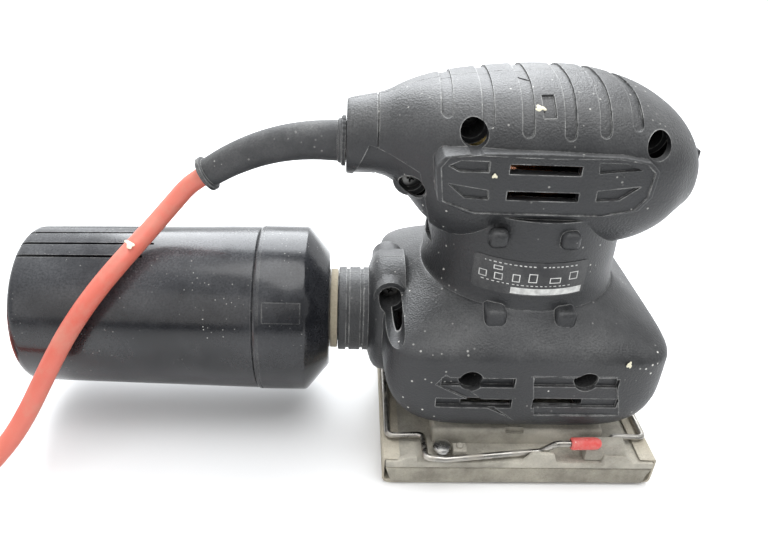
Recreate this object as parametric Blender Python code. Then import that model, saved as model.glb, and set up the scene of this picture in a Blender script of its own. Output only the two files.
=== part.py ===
"""Quarter-sheet palm sander: clamshell housing, motor, orbiting pad with wire paper
clamps, push-on dust box and mains cord.

Metres. The origin is the middle of the pad's sanding face, +X is the front of the tool
(the switch end), -X is the end with the dust box and the cord, +Z is up.
"""

import math

import bmesh
import bpy
from mathutils import Matrix, Vector

# ---------------------------------------------------------------- driving dimensions
GAP = 0.0003  # between neighbouring pieces

# Sanding pad, from the paper upwards
PAD_LENGTH = 0.104
PAD_WIDTH = 0.112
SHEET_THICKNESS = 0.0008
FOAM_THICKNESS = 0.0074
PLATEN_THICKNESS = 0.0029
PEDESTAL_LENGTH = 0.066
PEDESTAL_WIDTH = 0.092
PEDESTAL_TOP = 0.0188
LEG_INSET_X = 0.0020  # from the pedestal's ends to the rubber legs' axes
LEG_INSET_Y = 0.0170
PAD_BOSS_RADIUS = 0.0160
ORBIT = 0.0008  # the eccentric's throw, half of the orbit's diameter

# Housing
WALL = 0.0026
SKIRT_BOTTOM = 0.0215
SKIRT_LENGTH = 0.1054
SKIRT_WIDTH = 0.1006
RIDGE_Z = 0.0545  # where the skirt's upright faces end
NECK_RADIUS = 0.0368
NECK_BOTTOM = 0.0690
HANDLE_TOP = 0.1432
HANDLE_WIDTH = 0.0700
PORT_BORE = 0.0140
PORT_WALL = 0.0032
PORT_Z = 0.0425
PORT_END_X = -0.0700

# Motor
SHAFT_RADIUS = 0.0040
LOWER_BEARING_RADIUS = 0.0110
LOWER_BEARING_Z = 0.0637
LOWER_BEARING_HEIGHT = 0.0066
UPPER_BEARING_RADIUS = 0.0080
UPPER_BEARING_Z = 0.1245
UPPER_BEARING_HEIGHT = 0.0055
CORE_BOTTOM = 0.0775
CORE_HEIGHT = 0.0215
ARMATURE_RADIUS = 0.0172
STATOR_RADIUS = NECK_RADIUS - WALL - 0.0010
STATOR_RING = 0.0038
POLE_HALF_WIDTH = 0.0090
AIR_GAP = 0.0009
COMMUTATOR_RADIUS = 0.0105
COMMUTATOR_Z = 0.1100
COMMUTATOR_HEIGHT = 0.0095
FAN_RADIUS = 0.0290
FAN_HEIGHT = 0.0066
FAN_BLADES = 8

# Dust box, a round canister on a horizontal axis
BOX_RADIUS = 0.0335
BOX_TAPER = 0.0025  # how much narrower its far end is
BOX_WALL = 0.0022
COVER_BACK_X = -0.0735
COVER_SHOULDER_X = -0.0820
COVER_MOUTH_X = -0.1010
BOX_END_X = -0.1905
SPIGOT_LENGTH = 0.0175
FILTER_CLEARANCE = 0.0052  # round the filter, inside the bin's rim
BIN_RIM_THICKNESS = 0.0018
FILTER_LENGTH = 0.0520

# Cord
CORD_DIAMETER = 0.0070
GUARD_Z = 0.1150
GUARD_RADIUS = 0.0072
GUARD_END_RADIUS = 0.0052
COIL_CENTRE = (-0.2920, -0.0140)
COIL_RADIUS = 0.0500  # at the middle of its turns
COIL_TURNS = 5.7
COIL_LAYERS = 1  # so low that the dust bin slides back over it

# Wire clamps for the paper
WIRE_RADIUS = 0.0012
PIVOT_INSET = 0.0155  # from the pad's end to the clamp's pivot
CLAMP_INSET = 0.0050  # from the pad's side to the bracket's screw
BAR_INSET = 0.0110  # from the pad's side to the bar's bends
PIVOT_ABOVE_LEDGE = 0.0033

# Screws
SCREW_HEAD_RADIUS = 0.0035
SCREW_SHANK_RADIUS = 0.0015
SCREW_HEAD_Y = -0.0115
SCREW_TIP_Y = 0.0160
SCREW_BOSS_RADIUS = 0.0064

# ---------------------------------------------------------------- sizes worked out
FOAM_BOTTOM = SHEET_THICKNESS + GAP
FOAM_TOP = FOAM_BOTTOM + FOAM_THICKNESS
PLATEN_BOTTOM = FOAM_TOP + GAP
LEDGE_Z = PLATEN_BOTTOM + PLATEN_THICKNESS
HALF_PAD_X = PAD_LENGTH / 2
HALF_PAD_Y = PAD_WIDTH / 2
PIVOT_X = HALF_PAD_X - PIVOT_INSET
PORT_RADIUS = PORT_BORE + PORT_WALL
BOX_FAR_RADIUS = BOX_RADIUS - BOX_TAPER
RIM_RADIUS = BOX_RADIUS - BOX_WALL - GAP
FILTER_RADIUS = RIM_RADIUS - BIN_RIM_THICKNESS - FILTER_CLEARANCE
PIVOT_Z = LEDGE_Z + PIVOT_ABOVE_LEDGE
PARTITION_TOP = NECK_BOTTOM - 0.0010
CORE_TOP = CORE_BOTTOM + CORE_HEIGHT
STATOR_BORE = ARMATURE_RADIUS + AIR_GAP
SPIGOT_RADIUS = PORT_BORE - 0.0007
MOTOR_X = -ORBIT  # so that the pad's centre stands on the origin at rest
PIN_X = MOTOR_X + ORBIT
PIN_TOP = 0.0350
PAD_BEARING_BOTTOM = 0.0226
PAD_BEARING_HEIGHT = 0.0070
PARTITION_BOTTOM = RIDGE_Z + 0.0054
FAN_Z = PARTITION_BOTTOM - 0.0008 - FAN_HEIGHT


# ---------------------------------------------------------------- ways of making solids
def finish(name, colour, roughness, metallic=0.0):
    material = bpy.data.materials.new(name)
    material.use_nodes = True
    shader = material.node_tree.nodes["Principled BSDF"]
    shader.inputs["Base Color"].default_value = (*colour, 1.0)
    shader.inputs["Roughness"].default_value = roughness
    shader.inputs["Metallic"].default_value = metallic
    return material


def pivot(name, position):
    """An empty on a joint's axis, which the pieces of one moving body hang from."""
    empty = bpy.data.objects.new(name, None)
    empty.location = position
    bpy.context.scene.collection.objects.link(empty)
    return empty


def add(name, mesh, material=None, body=None, smooth=True):
    """A mesh in world space as an object: a piece if it has a material, else a cutter."""
    obj = bpy.data.objects.new(name, mesh)
    bpy.context.scene.collection.objects.link(obj)
    if material is None:
        obj.hide_render = True
        obj.display_type = "WIRE"
    else:
        mesh.materials.append(material)
    if smooth:
        mesh.shade_smooth()
        mesh.set_sharp_from_angle(angle=math.radians(35))
    if body is not None:
        obj.parent = body
        obj.matrix_parent_inverse = Matrix.Translation(-body.location)
    return obj


def mesh_from(name, work):
    bmesh.ops.remove_doubles(work, verts=work.verts, dist=1e-7)
    bmesh.ops.recalc_face_normals(work, faces=work.faces)
    mesh = bpy.data.meshes.new(name)
    work.to_mesh(mesh)
    work.free()
    return mesh


def loft(name, rings, material=None, body=None):
    """A skin through rings of equally many points, closed at both ends."""
    work = bmesh.new()
    rows = [[work.verts.new(point) for point in ring] for ring in rings]
    for low, high in zip(rows, rows[1:]):
        for i in range(len(low)):
            j = (i + 1) % len(low)
            work.faces.new((low[i], low[j], high[j], high[i]))
    work.faces.new(rows[0])
    work.faces.new(rows[-1])
    return add(name, mesh_from(name, work), material, body)


def prism(name, outline, axis, low, high, material=None, body=None):
    """An outline drawn across an axis, extruded along it. Its points are (X, Z) for axis Y."""
    place = {
        "X": lambda a, b, c: (c, a, b),
        "Y": lambda a, b, c: (a, c, b),
        "Z": lambda a, b, c: (a, b, c),
    }[axis]
    rings = [[place(a, b, end) for a, b in outline] for end in (low, high)]
    return loft(name, rings, material, body)


def box(name, low, high, material=None, body=None):
    outline = [(low[0], low[1]), (high[0], low[1]), (high[0], high[1]), (low[0], high[1])]
    return prism(name, outline, "Z", low[2], high[2], material, body)


def turned(name, profile, axis, centre, steps=32, material=None, body=None):
    """A closed profile of (radius, height) points, spun about an axis through centre."""
    along = {"X": Vector((1, 0, 0)), "Y": Vector((0, 1, 0)), "Z": Vector((0, 0, 1))}[axis]
    out = Vector((0, 0, 1)) if axis == "X" else Vector((1, 0, 0))
    centre = Vector(centre)
    work = bmesh.new()
    points = [work.verts.new(centre + out * r + along * h) for r, h in profile]
    edges = [work.edges.new((a, b)) for a, b in zip(points, points[1:] + points[:1])]
    bmesh.ops.spin(
        work,
        geom=points + edges,
        cent=centre,
        axis=along,
        angle=math.tau,
        steps=steps,
        use_merge=True,
        use_duplicate=False,
    )
    bmesh.ops.remove_doubles(work, verts=work.verts, dist=1e-6)
    bmesh.ops.dissolve_degenerate(work, edges=work.edges, dist=1e-7)
    return add(name, mesh_from(name, work), material, body)


def rod(name, radius, axis, centre, low, high, steps=24, material=None, body=None):
    profile = [(0, low), (0, high), (radius, high), (radius, low)]
    return turned(name, profile, axis, centre, steps, material, body)


def pipe(name, outer, inner, axis, centre, low, high, steps=24, material=None, body=None):
    profile = [(inner, low), (inner, high), (outer, high), (outer, low)]
    return turned(name, profile, axis, centre, steps, material, body)


def strand(name, points, radius, resolution, material, body=None):
    """A round wire or cord through points, with flat ends."""
    curve = bpy.data.curves.new(name, "CURVE")
    curve.dimensions = "3D"
    curve.bevel_depth = radius
    curve.bevel_resolution = resolution
    curve.use_fill_caps = True
    line = curve.splines.new("POLY")
    line.points.add(len(points) - 1)
    for spot, point in zip(line.points, points):
        spot.co = (*point, 1.0)
    curve.materials.append(material)
    obj = bpy.data.objects.new(name, curve)
    bpy.context.scene.collection.objects.link(obj)
    if body is not None:
        obj.parent = body
        obj.matrix_parent_inverse = Matrix.Translation(-body.location)
    return obj


def boolean(obj, operation, tools):
    """All the tools are taken from, or joined to, the object in one step.

    EXACT leaves the housing's long chain of cuts open in places, so that one is MANIFOLD.
    """
    group = bpy.data.collections.new(f"{obj.name} {operation.lower()}")
    bpy.context.scene.collection.children.link(group)
    for tool in tools:
        tool.hide_render = True
        tool.display_type = "WIRE"
        group.objects.link(tool)
    step = obj.modifiers.new(operation.lower(), "BOOLEAN")
    step.solver = "MANIFOLD" if obj.name.startswith("housing") else "EXACT"
    step.operation = operation
    step.operand_type = "COLLECTION"
    step.collection = group


def cut(obj, *tools):
    boolean(obj, "DIFFERENCE", tools)


def join(obj, *tools):
    boolean(obj, "UNION", tools)


def fillet(points, radius, steps=4):
    """The polyline through points with each inner corner rounded by an arc."""
    points = [Vector(point) for point in points]
    path = [points[0]]
    for before, corner, after in zip(points, points[1:], points[2:]):
        to_before = (before - corner).normalized()
        to_after = (after - corner).normalized()
        half = to_before.angle(to_after) / 2
        back = min(
            radius / math.tan(half),
            0.45 * (before - corner).length,
            0.45 * (after - corner).length,
        )
        start = corner + to_before * back
        end = corner + to_after * back
        for step in range(steps + 1):
            t = step / steps
            path.append((1 - t) ** 2 * start + 2 * t * (1 - t) * corner + t**2 * end)
    path.append(points[-1])
    return path


def smooth_route(points, spacing):
    """Evenly spaced points on a Catmull-Rom curve through the route's own points."""
    points = [Vector(point) for point in points]
    ends = [2 * points[0] - points[1], *points, 2 * points[-1] - points[-2]]
    fine = [points[0]]
    for a, b, c, d in zip(ends, ends[1:], ends[2:], ends[3:]):
        for step in range(1, 25):
            t = step / 24
            fine.append(
                0.5
                * (
                    2 * b
                    + (c - a) * t
                    + (2 * a - 5 * b + 4 * c - d) * t**2
                    + (3 * b - 3 * c + d - a) * t**3
                )
            )
    route = [fine[0]]
    since = 0.0
    for here, there in zip(fine, fine[1:]):
        since += (there - here).length
        if since >= spacing:
            route.append(there)
            since = 0.0
    if since < spacing / 2:
        route.pop()
    route.append(fine[-1])
    return route


def oval(half_a, half_b, power, steps):
    """Points round a superellipse: power 2 is an ellipse, a high power nearly a rectangle."""
    points = []
    for step in range(steps):
        angle = math.tau * step / steps
        c, s = math.cos(angle), math.sin(angle)
        reach = (abs(c / half_a) ** power + abs(s / half_b) ** power) ** (-1 / power)
        points.append((reach * c, reach * s))
    return points


# ---------------------------------------------------------------- a clean scene, finishes
for old in list(bpy.data.objects):
    bpy.data.objects.remove(old)

CHARCOAL = finish("charcoal plastic", (0.060, 0.062, 0.066), 0.55)
BLACK = finish("black gloss plastic", (0.010, 0.011, 0.014), 0.18)
SOFT_BLACK = finish("black rubber", (0.030, 0.031, 0.034), 0.75)
STEEL = finish("zinc-plated steel", (0.55, 0.55, 0.53), 0.35, 1.0)
ALUMINIUM = finish("cast aluminium", (0.46, 0.44, 0.40), 0.55, 1.0)
FOAM = finish("grey foam", (0.20, 0.19, 0.17), 0.95)
PAPER = finish("abrasive paper", (0.42, 0.36, 0.28), 0.95)
RED = finish("red sleeve", (0.55, 0.06, 0.05), 0.45)
FELT = finish("felt", (0.62, 0.56, 0.44), 0.95)
COPPER = finish("enamelled copper", (0.60, 0.24, 0.10), 0.35, 1.0)
LAMINATION = finish("laminated iron", (0.25, 0.25, 0.26), 0.45, 1.0)
CARBON = finish("carbon", (0.04, 0.04, 0.04), 0.6)
BRASS = finish("brass", (0.70, 0.52, 0.22), 0.35, 1.0)
CORD_RED = finish("orange-red rubber", (0.75, 0.20, 0.13), 0.55)

ROTOR = pivot("rotor_axis", (MOTOR_X, 0, 0))
PAD = pivot("pad_axis", (PIN_X, 0, 0))


# ---------------------------------------------------------------- housing
# The handle's side view and plan, station by station from the cord end to the front:
# x, underside, top, half width, and how square the section is.
TOP = HANDLE_TOP
HALF = HANDLE_WIDTH / 2
HANDLE = (
    (-0.0680, 0.1045, TOP - 0.0142, 0.0125, 2.0),
    (-0.0665, 0.1035, TOP - 0.0127, 0.0138, 2.0),
    (-0.0550, 0.1028, TOP - 0.0102, 0.0155, 2.1),
    (-0.0470, 0.0975, TOP - 0.0068, 0.0205, 2.3),
    (-0.0380, 0.0885, TOP - 0.0044, 0.0272, 2.5),
    (-0.0260, 0.0840, TOP - 0.0024, 0.0320, 2.6),
    (-0.0100, 0.0830, TOP - 0.0007, HALF - 0.0005, 2.6),
    (0.0040, 0.0830, TOP, HALF, 2.6),
    (0.0180, 0.0830, TOP - 0.0006, HALF, 2.6),
    (0.0320, 0.0840, TOP - 0.0036, HALF - 0.0010, 2.6),
    (0.0420, 0.0862, TOP - 0.0072, 0.0312, 2.6),
    (0.0500, 0.0915, TOP - 0.0124, 0.0262, 2.5),
    (0.0555, 0.0965, TOP - 0.0192, 0.0205, 2.4),
    (0.0590, 0.1010, TOP - 0.0262, 0.0130, 2.3),
    (0.0606, 0.1055, TOP - 0.0317, 0.0060, 2.1),
)


def handle_at(x):
    for one, two in zip(HANDLE, HANDLE[1:]):
        if one[0] <= x <= two[0]:
            t = (x - one[0]) / (two[0] - one[0])
            return [a + t * (b - a) for a, b in zip(one, two)]
    raise ValueError(x)


def handle_ring(x, inset, steps):
    _, low, high, half, power = handle_at(x)
    middle = (low + high) / 2
    ring = oval(half - inset, (high - low) / 2 - inset, power, steps)
    return [(x, y, middle + z) for y, z in ring]


# The skirt and the neck, one above the other: height, half length, half width, squareness.
SKIRT_HALF_X = SKIRT_LENGTH / 2
SKIRT_HALF_Y = SKIRT_WIDTH / 2
SKIRT = (
    (SKIRT_BOTTOM, SKIRT_HALF_X - 0.0060, SKIRT_HALF_Y - 0.0052, 6.5),
    (SKIRT_BOTTOM + 0.0046, SKIRT_HALF_X, SKIRT_HALF_Y, 7.5),
    (RIDGE_Z, SKIRT_HALF_X, SKIRT_HALF_Y, 7.5),
    (RIDGE_Z + 0.0030, SKIRT_HALF_X - 0.0026, SKIRT_HALF_Y - 0.0024, 6.0),
    (RIDGE_Z + 0.0070, SKIRT_HALF_X - 0.0082, SKIRT_HALF_Y - 0.0070, 4.0),
    (RIDGE_Z + 0.0110, NECK_RADIUS + 0.0030, NECK_RADIUS + 0.0024, 2.5),
    (NECK_BOTTOM, NECK_RADIUS + 0.0004, NECK_RADIUS + 0.0004, 2.0),
    (NECK_BOTTOM + 0.0330, NECK_RADIUS - 0.0006, NECK_RADIUS - 0.0006, 2.0),
)


def skirt_ring(level, inset, steps):
    z, half_x, half_y, power = level
    return [(x, y, z) for x, y in oval(half_x - inset, half_y - inset, power, steps)]


# Screws along Y through both halves: x, z and how far the boss reaches each way.
HOUSING_SCREWS = {
    "handle_screw_rear": (-0.0272, HANDLE_TOP - 0.0142, 0.0200),
    "handle_screw_front": (0.0326, HANDLE_TOP - 0.0157, 0.0210),
    "handle_screw_arm": (-0.0450, 0.1060, 0.0120),
    "skirt_screw_rear": (-0.0220, 0.0458, SKIRT_HALF_Y - 0.0030),
    "skirt_screw_front": (0.0200, 0.0458, SKIRT_HALF_Y - 0.0030),
    "port_screw": (-0.0500, PORT_Z + PORT_RADIUS - 0.0007, 0.0165),
}
LEG_X = PEDESTAL_LENGTH / 2 - LEG_INSET_X
LEG_Y = PEDESTAL_WIDTH / 2 - LEG_INSET_Y
LEG_PLACES = [(x, y) for x in (-LEG_X, LEG_X) for y in (-LEG_Y, LEG_Y)]
LEG_RADIUS = 0.0058
LEG_TOP = 0.0420
SWITCH_Z = 0.1095
SWITCH_HALF_HEIGHT = 0.0092
SWITCH_HALF_WIDTH = 0.0085

shell = loft("housing_right", [handle_ring(row[0], 0, 28) for row in HANDLE], CHARCOAL)
body_skin = loft("skirt_skin", [skirt_ring(level, 0, 36) for level in SKIRT])
port_skin = rod("port_skin", PORT_RADIUS, "X", (0, 0, PORT_Z), PORT_END_X, -0.0480, 28)
VENT_OUTLINE = [
    (-0.0370, 0.1200), (-0.0335, 0.1235), (0.0305, 0.1235), (0.0340, 0.1200),
    (0.0320, 0.1080), (0.0280, 0.1050), (-0.0310, 0.1050), (-0.0350, 0.1080),
]
VENT_REACH = 0.0360
panels = [
    prism(f"vent_panel_{side:+d}", VENT_OUTLINE, "Y", *sorted((side * 0.0250, side * VENT_REACH)))
    for side in (-1, 1)
]
port_boss_x, port_boss_z, port_boss_reach = HOUSING_SCREWS["port_screw"]
port_boss = rod(
    "port_boss", SCREW_BOSS_RADIUS, "Y", (port_boss_x, 0, port_boss_z),
    -port_boss_reach - 0.0020, port_boss_reach + 0.0020, 16,
)
join(shell, body_skin, port_skin, port_boss, *panels)

# Hollow inside: the handle, the neck above the partition, and the fan chamber below it.
hollow_x = (-0.0650, -0.0550, -0.0470, -0.0380, -0.0260, 0.0040, 0.0320, 0.0420, 0.0500, 0.0560)
hollow_handle = loft("hollow_handle", [handle_ring(x, WALL, 20) for x in hollow_x])
neck_bore = rod("neck_bore", NECK_RADIUS - WALL, "Z", (0, 0, 0), PARTITION_TOP, 0.1010, 32)
chamber_levels = [(SKIRT_BOTTOM - 0.0010, *SKIRT[0][1:])] + [
    (level[0] - (0 if level[0] <= RIDGE_Z else RIDGE_Z + 0.0070 - PARTITION_BOTTOM), *level[1:])
    for level in SKIRT[1:5]
]
chamber = loft("chamber", [skirt_ring(level, WALL, 28) for level in chamber_levels])
port_bore = rod("port_bore", PORT_BORE, "X", (0, 0, PORT_Z), PORT_END_X - 0.001, -0.0440, 24)
cut(shell, hollow_handle, neck_bore, chamber, port_bore)

# Seats that stand inside: bearings, screw bosses and the sockets for the rubber legs.
seat_reach = 0.0040
seats = [
    rod("lower_seat", LOWER_BEARING_RADIUS + seat_reach, "Z", (MOTOR_X, 0, 0),
        RIDGE_Z + 0.0075, LOWER_BEARING_Z + LOWER_BEARING_HEIGHT + 0.0010),
    rod("upper_seat", UPPER_BEARING_RADIUS + seat_reach, "Z", (MOTOR_X, 0, 0),
        UPPER_BEARING_Z - 0.0005, HANDLE_TOP - 0.0015),
]
for name, (x, z, reach) in HOUSING_SCREWS.items():
    seats.append(rod(f"{name}_boss", SCREW_BOSS_RADIUS, "Y", (x, 0, z), -reach, reach, 14))
for index, (x, y) in enumerate(LEG_PLACES):
    seats.append(rod(f"leg_socket_{index}", LEG_RADIUS + 0.0026, "Z", (x, y, 0),
                     LEG_TOP - 0.0080, RIDGE_Z + 0.0060, 14))
join(shell, *seats)

holes = [
    rod("lower_pocket", LOWER_BEARING_RADIUS + GAP, "Z", (MOTOR_X, 0, 0),
        LOWER_BEARING_Z - GAP, LOWER_BEARING_Z + LOWER_BEARING_HEIGHT + 0.0040),
    rod("shaft_pass", SHAFT_RADIUS + 0.0020, "Z", (MOTOR_X, 0, 0), 0.0560, 0.0690, 20),
    rod("upper_pocket", UPPER_BEARING_RADIUS + GAP, "Z", (MOTOR_X, 0, 0),
        UPPER_BEARING_Z - 0.0020, UPPER_BEARING_Z + UPPER_BEARING_HEIGHT + GAP),
    rod("shaft_end_pass", SHAFT_RADIUS + GAP, "Z", (MOTOR_X, 0, 0), 0.1240, 0.1325, 16),
    rod("guard_hole", GUARD_RADIUS - 0.0008, "X", (0, 0, GUARD_Z), -0.0720, -0.0620),
    box("switch_hole", (0.0480, -SWITCH_HALF_WIDTH - GAP, SWITCH_Z - SWITCH_HALF_HEIGHT - GAP),
        (0.0640, SWITCH_HALF_WIDTH + GAP, SWITCH_Z + SWITCH_HALF_HEIGHT + GAP)),
]
for name, (x, z, reach) in HOUSING_SCREWS.items():
    profile = [
        (0, -0.0700), (0, SCREW_TIP_Y + GAP), (SCREW_SHANK_RADIUS + GAP, SCREW_TIP_Y + GAP),
        (SCREW_SHANK_RADIUS + GAP, SCREW_HEAD_Y + 0.0028),
        (SCREW_HEAD_RADIUS + 0.0009, SCREW_HEAD_Y + 0.0028), (SCREW_HEAD_RADIUS + 0.0009, -0.0700),
    ]
    holes.append(turned(f"{name}_hole", profile, "Y", (x, 0, z), 12))
for index, (x, y) in enumerate(LEG_PLACES):
    bore_top = LEG_TOP + GAP
    holes.append(rod(f"leg_bore_{index}", LEG_RADIUS + GAP, "Z", (x, y, 0), 0.0300, bore_top, 12))
VENT_SLOTS = ((0.1185, 0.1219), (0.1083, 0.1117))
LOUVER_SLOTS = ((-0.0275, -0.0065), (0.0035, 0.0245))
for side in (-1, 1):
    for low, high in VENT_SLOTS:
        near, far = sorted((side * 0.0260, side * 0.0400))
        holes.append(box(f"vent_slot_{side:+d}_{low:.3f}", (-0.0155, near, low), (0.0085, far, high)))
    near, far = sorted((side * (SKIRT_HALF_Y - 0.0012), side * (SKIRT_HALF_Y + 0.0020)))
    holes.append(box(f"louver_recess_{side:+d}", (-0.0340, near, 0.0270), (0.0340, far, 0.0480)))
    near, far = sorted((side * (SKIRT_HALF_Y - 0.0040), side * (SKIRT_HALF_Y - 0.0006)))
    for low, high in LOUVER_SLOTS:
        holes.append(box(f"louver_slot_{side:+d}_{low:+.3f}", (low, near, 0.0315), (high, far, 0.0355)))
for index, x in enumerate((-0.0655, -0.0610)):
    holes.append(pipe(f"port_groove_{index}", PORT_RADIUS + 0.002, PORT_RADIUS - 0.0008, "X",
                      (0, 0, PORT_Z), x, x + 0.0012, 28))
cut(shell, *holes)

# Two halves, parted along the tool's middle plane.
bpy.context.view_layer.update()
whole = bpy.data.meshes.new_from_object(shell.evaluated_get(bpy.context.evaluated_depsgraph_get()))
shell.modifiers.clear()
shell.data = whole
far_half = add("housing_left", whole.copy(), None, smooth=False)
far_half.hide_render = False
far_half.display_type = "TEXTURED"
for half, side in ((shell, 1), (far_half, -1)):
    near, far = sorted((-side * GAP / 2, side * 0.0900))
    cut(half, box(f"{half.name}_other_side", (-0.1000, near, 0.0000), (0.1000, far, 0.2000)))

for name, (x, z, reach) in HOUSING_SCREWS.items():
    head = SCREW_HEAD_Y
    profile = [
        (0, head), (0, SCREW_TIP_Y), (SCREW_SHANK_RADIUS, SCREW_TIP_Y),
        (SCREW_SHANK_RADIUS, head + 0.0025), (SCREW_HEAD_RADIUS, head + 0.0025),
        (SCREW_HEAD_RADIUS, head + 0.0008), (SCREW_HEAD_RADIUS - 0.0010, head),
    ]
    turned(name, profile, "Y", (x, 0, z), 12, STEEL)

# ---------------------------------------------------------------- switch at the front
FRAME_FRONT_X = 0.0590
frame = box(
    "switch_frame",
    (0.0530, -SWITCH_HALF_WIDTH, SWITCH_Z - SWITCH_HALF_HEIGHT),
    (FRAME_FRONT_X, SWITCH_HALF_WIDTH, SWITCH_Z + SWITCH_HALF_HEIGHT),
    BLACK,
)
FRAME_RIM = 0.0013
cut(frame, box(
    "frame_hole",
    (0.0500, -SWITCH_HALF_WIDTH + FRAME_RIM, SWITCH_Z - SWITCH_HALF_HEIGHT + FRAME_RIM),
    (0.0620, SWITCH_HALF_WIDTH - FRAME_RIM, SWITCH_Z + SWITCH_HALF_HEIGHT - FRAME_RIM),
))
box("switch_body", (0.0365, -0.0095, SWITCH_Z - 0.0095), (0.0510, 0.0095, SWITCH_Z + 0.0095), BLACK)
ROCKER_PIVOT = (0.0555, 0, SWITCH_Z)
ROCKER = pivot("rocker_axis", ROCKER_PIVOT)
ROCKER_HALF = SWITCH_HALF_HEIGHT - FRAME_RIM - 0.0014
px, _, pz = ROCKER_PIVOT
rocker_outline = [
    (px - 0.0012, pz - ROCKER_HALF + 0.0010), (px + 0.0048, pz - ROCKER_HALF),
    (px + 0.0034, pz), (px + 0.0022, pz + ROCKER_HALF), (px - 0.0018, pz + ROCKER_HALF - 0.0010),
    (px - 0.0018, pz + 0.0015), (px - 0.0026, pz), (px - 0.0018, pz - 0.0015),
]
rocker_half_width = SWITCH_HALF_WIDTH - FRAME_RIM - GAP
prism("switch_rocker", rocker_outline, "Y", -rocker_half_width, rocker_half_width, RED, ROCKER)

# ---------------------------------------------------------------- motor, fixed part
stator = pipe("stator_core", STATOR_RADIUS, STATOR_RADIUS - STATOR_RING, "Z", (0, 0, 0),
              CORE_BOTTOM, CORE_TOP, 40, LAMINATION)
pole_start, pole_end = ARMATURE_RADIUS - 0.0022, STATOR_RADIUS - 0.0022
poles = [
    box(f"pole_{side:+d}", (-POLE_HALF_WIDTH, min(side * pole_start, side * pole_end), CORE_BOTTOM),
        (POLE_HALF_WIDTH, max(side * pole_start, side * pole_end), CORE_TOP))
    for side in (-1, 1)
]
join(stator, *poles)
cut(stator, rod("stator_bore", STATOR_BORE, "Z", (MOTOR_X, 0, 0),
                CORE_BOTTOM - 0.001, CORE_TOP + 0.001, 40))

COIL_WALL = 0.0044
COIL_DEPTH = 0.0043
coil_start = ARMATURE_RADIUS + 0.0033
for name, side in (("field_coil_right", -1), ("field_coil_left", 1)):
    near, far = sorted((side * coil_start, side * (coil_start + COIL_DEPTH)))
    inner_x = POLE_HALF_WIDTH + GAP
    coil = box(name, (-inner_x - COIL_WALL, near, CORE_BOTTOM - GAP - COIL_WALL),
               (inner_x + COIL_WALL, far, CORE_TOP + GAP + COIL_WALL), COPPER)
    cut(coil, box(f"{name}_window", (-inner_x, near - 0.001, CORE_BOTTOM - GAP),
                  (inner_x, far + 0.001, CORE_TOP + GAP)))

BRUSH_Z = COMMUTATOR_Z + COMMUTATOR_HEIGHT / 2
BRUSH_HALF_Y = 0.0025
BRUSH_HALF_Z = 0.0036
HOLDER_WALL = 0.0016
HOLDER_END = 0.0275


def brush_span(side, one, two):
    return sorted((MOTOR_X + side * one, MOTOR_X + side * two))


for name, side in (("rear", -1), ("front", 1)):
    outer_y = BRUSH_HALF_Y + GAP + HOLDER_WALL
    outer_z = BRUSH_HALF_Z + GAP + HOLDER_WALL
    low, high = brush_span(side, COMMUTATOR_RADIUS + 0.0020, HOLDER_END)
    holder = box(f"brush_holder_{name}", (low, -outer_y, BRUSH_Z - outer_z),
                 (high, outer_y, BRUSH_Z + outer_z), BRASS)
    low, high = brush_span(side, COMMUTATOR_RADIUS, HOLDER_END - HOLDER_WALL)
    cut(holder, box(f"holder_bore_{name}", (low, -BRUSH_HALF_Y - GAP, BRUSH_Z - BRUSH_HALF_Z - GAP),
                    (high, BRUSH_HALF_Y + GAP, BRUSH_Z + BRUSH_HALF_Z + GAP)))
    brush_end = COMMUTATOR_RADIUS + GAP + 0.0090
    low, high = brush_span(side, COMMUTATOR_RADIUS + GAP, brush_end)
    box(f"carbon_brush_{name}", (low, -BRUSH_HALF_Y, BRUSH_Z - BRUSH_HALF_Z),
        (high, BRUSH_HALF_Y, BRUSH_Z + BRUSH_HALF_Z), CARBON)
    spring_start = brush_end + 0.0006
    spring_length = HOLDER_END - HOLDER_WALL - 0.0006 - spring_start
    turns, per_turn, spring_radius = 3, 8, 0.0018
    helix = []
    for step in range(turns * per_turn + 1):
        angle = math.tau * step / per_turn
        x = MOTOR_X + side * (spring_start + spring_length * step / (turns * per_turn))
        helix.append((x, spring_radius * math.cos(angle), BRUSH_Z + spring_radius * math.sin(angle)))
    strand(f"brush_spring_{name}", helix, 0.0003, 0, STEEL)

pipe("lower_bearing", LOWER_BEARING_RADIUS, SHAFT_RADIUS + GAP, "Z", (MOTOR_X, 0, 0),
     LOWER_BEARING_Z, LOWER_BEARING_Z + LOWER_BEARING_HEIGHT, 28, STEEL)
pipe("upper_bearing", UPPER_BEARING_RADIUS, SHAFT_RADIUS + GAP, "Z", (MOTOR_X, 0, 0),
     UPPER_BEARING_Z, UPPER_BEARING_Z + UPPER_BEARING_HEIGHT, 24, STEEL)

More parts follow.
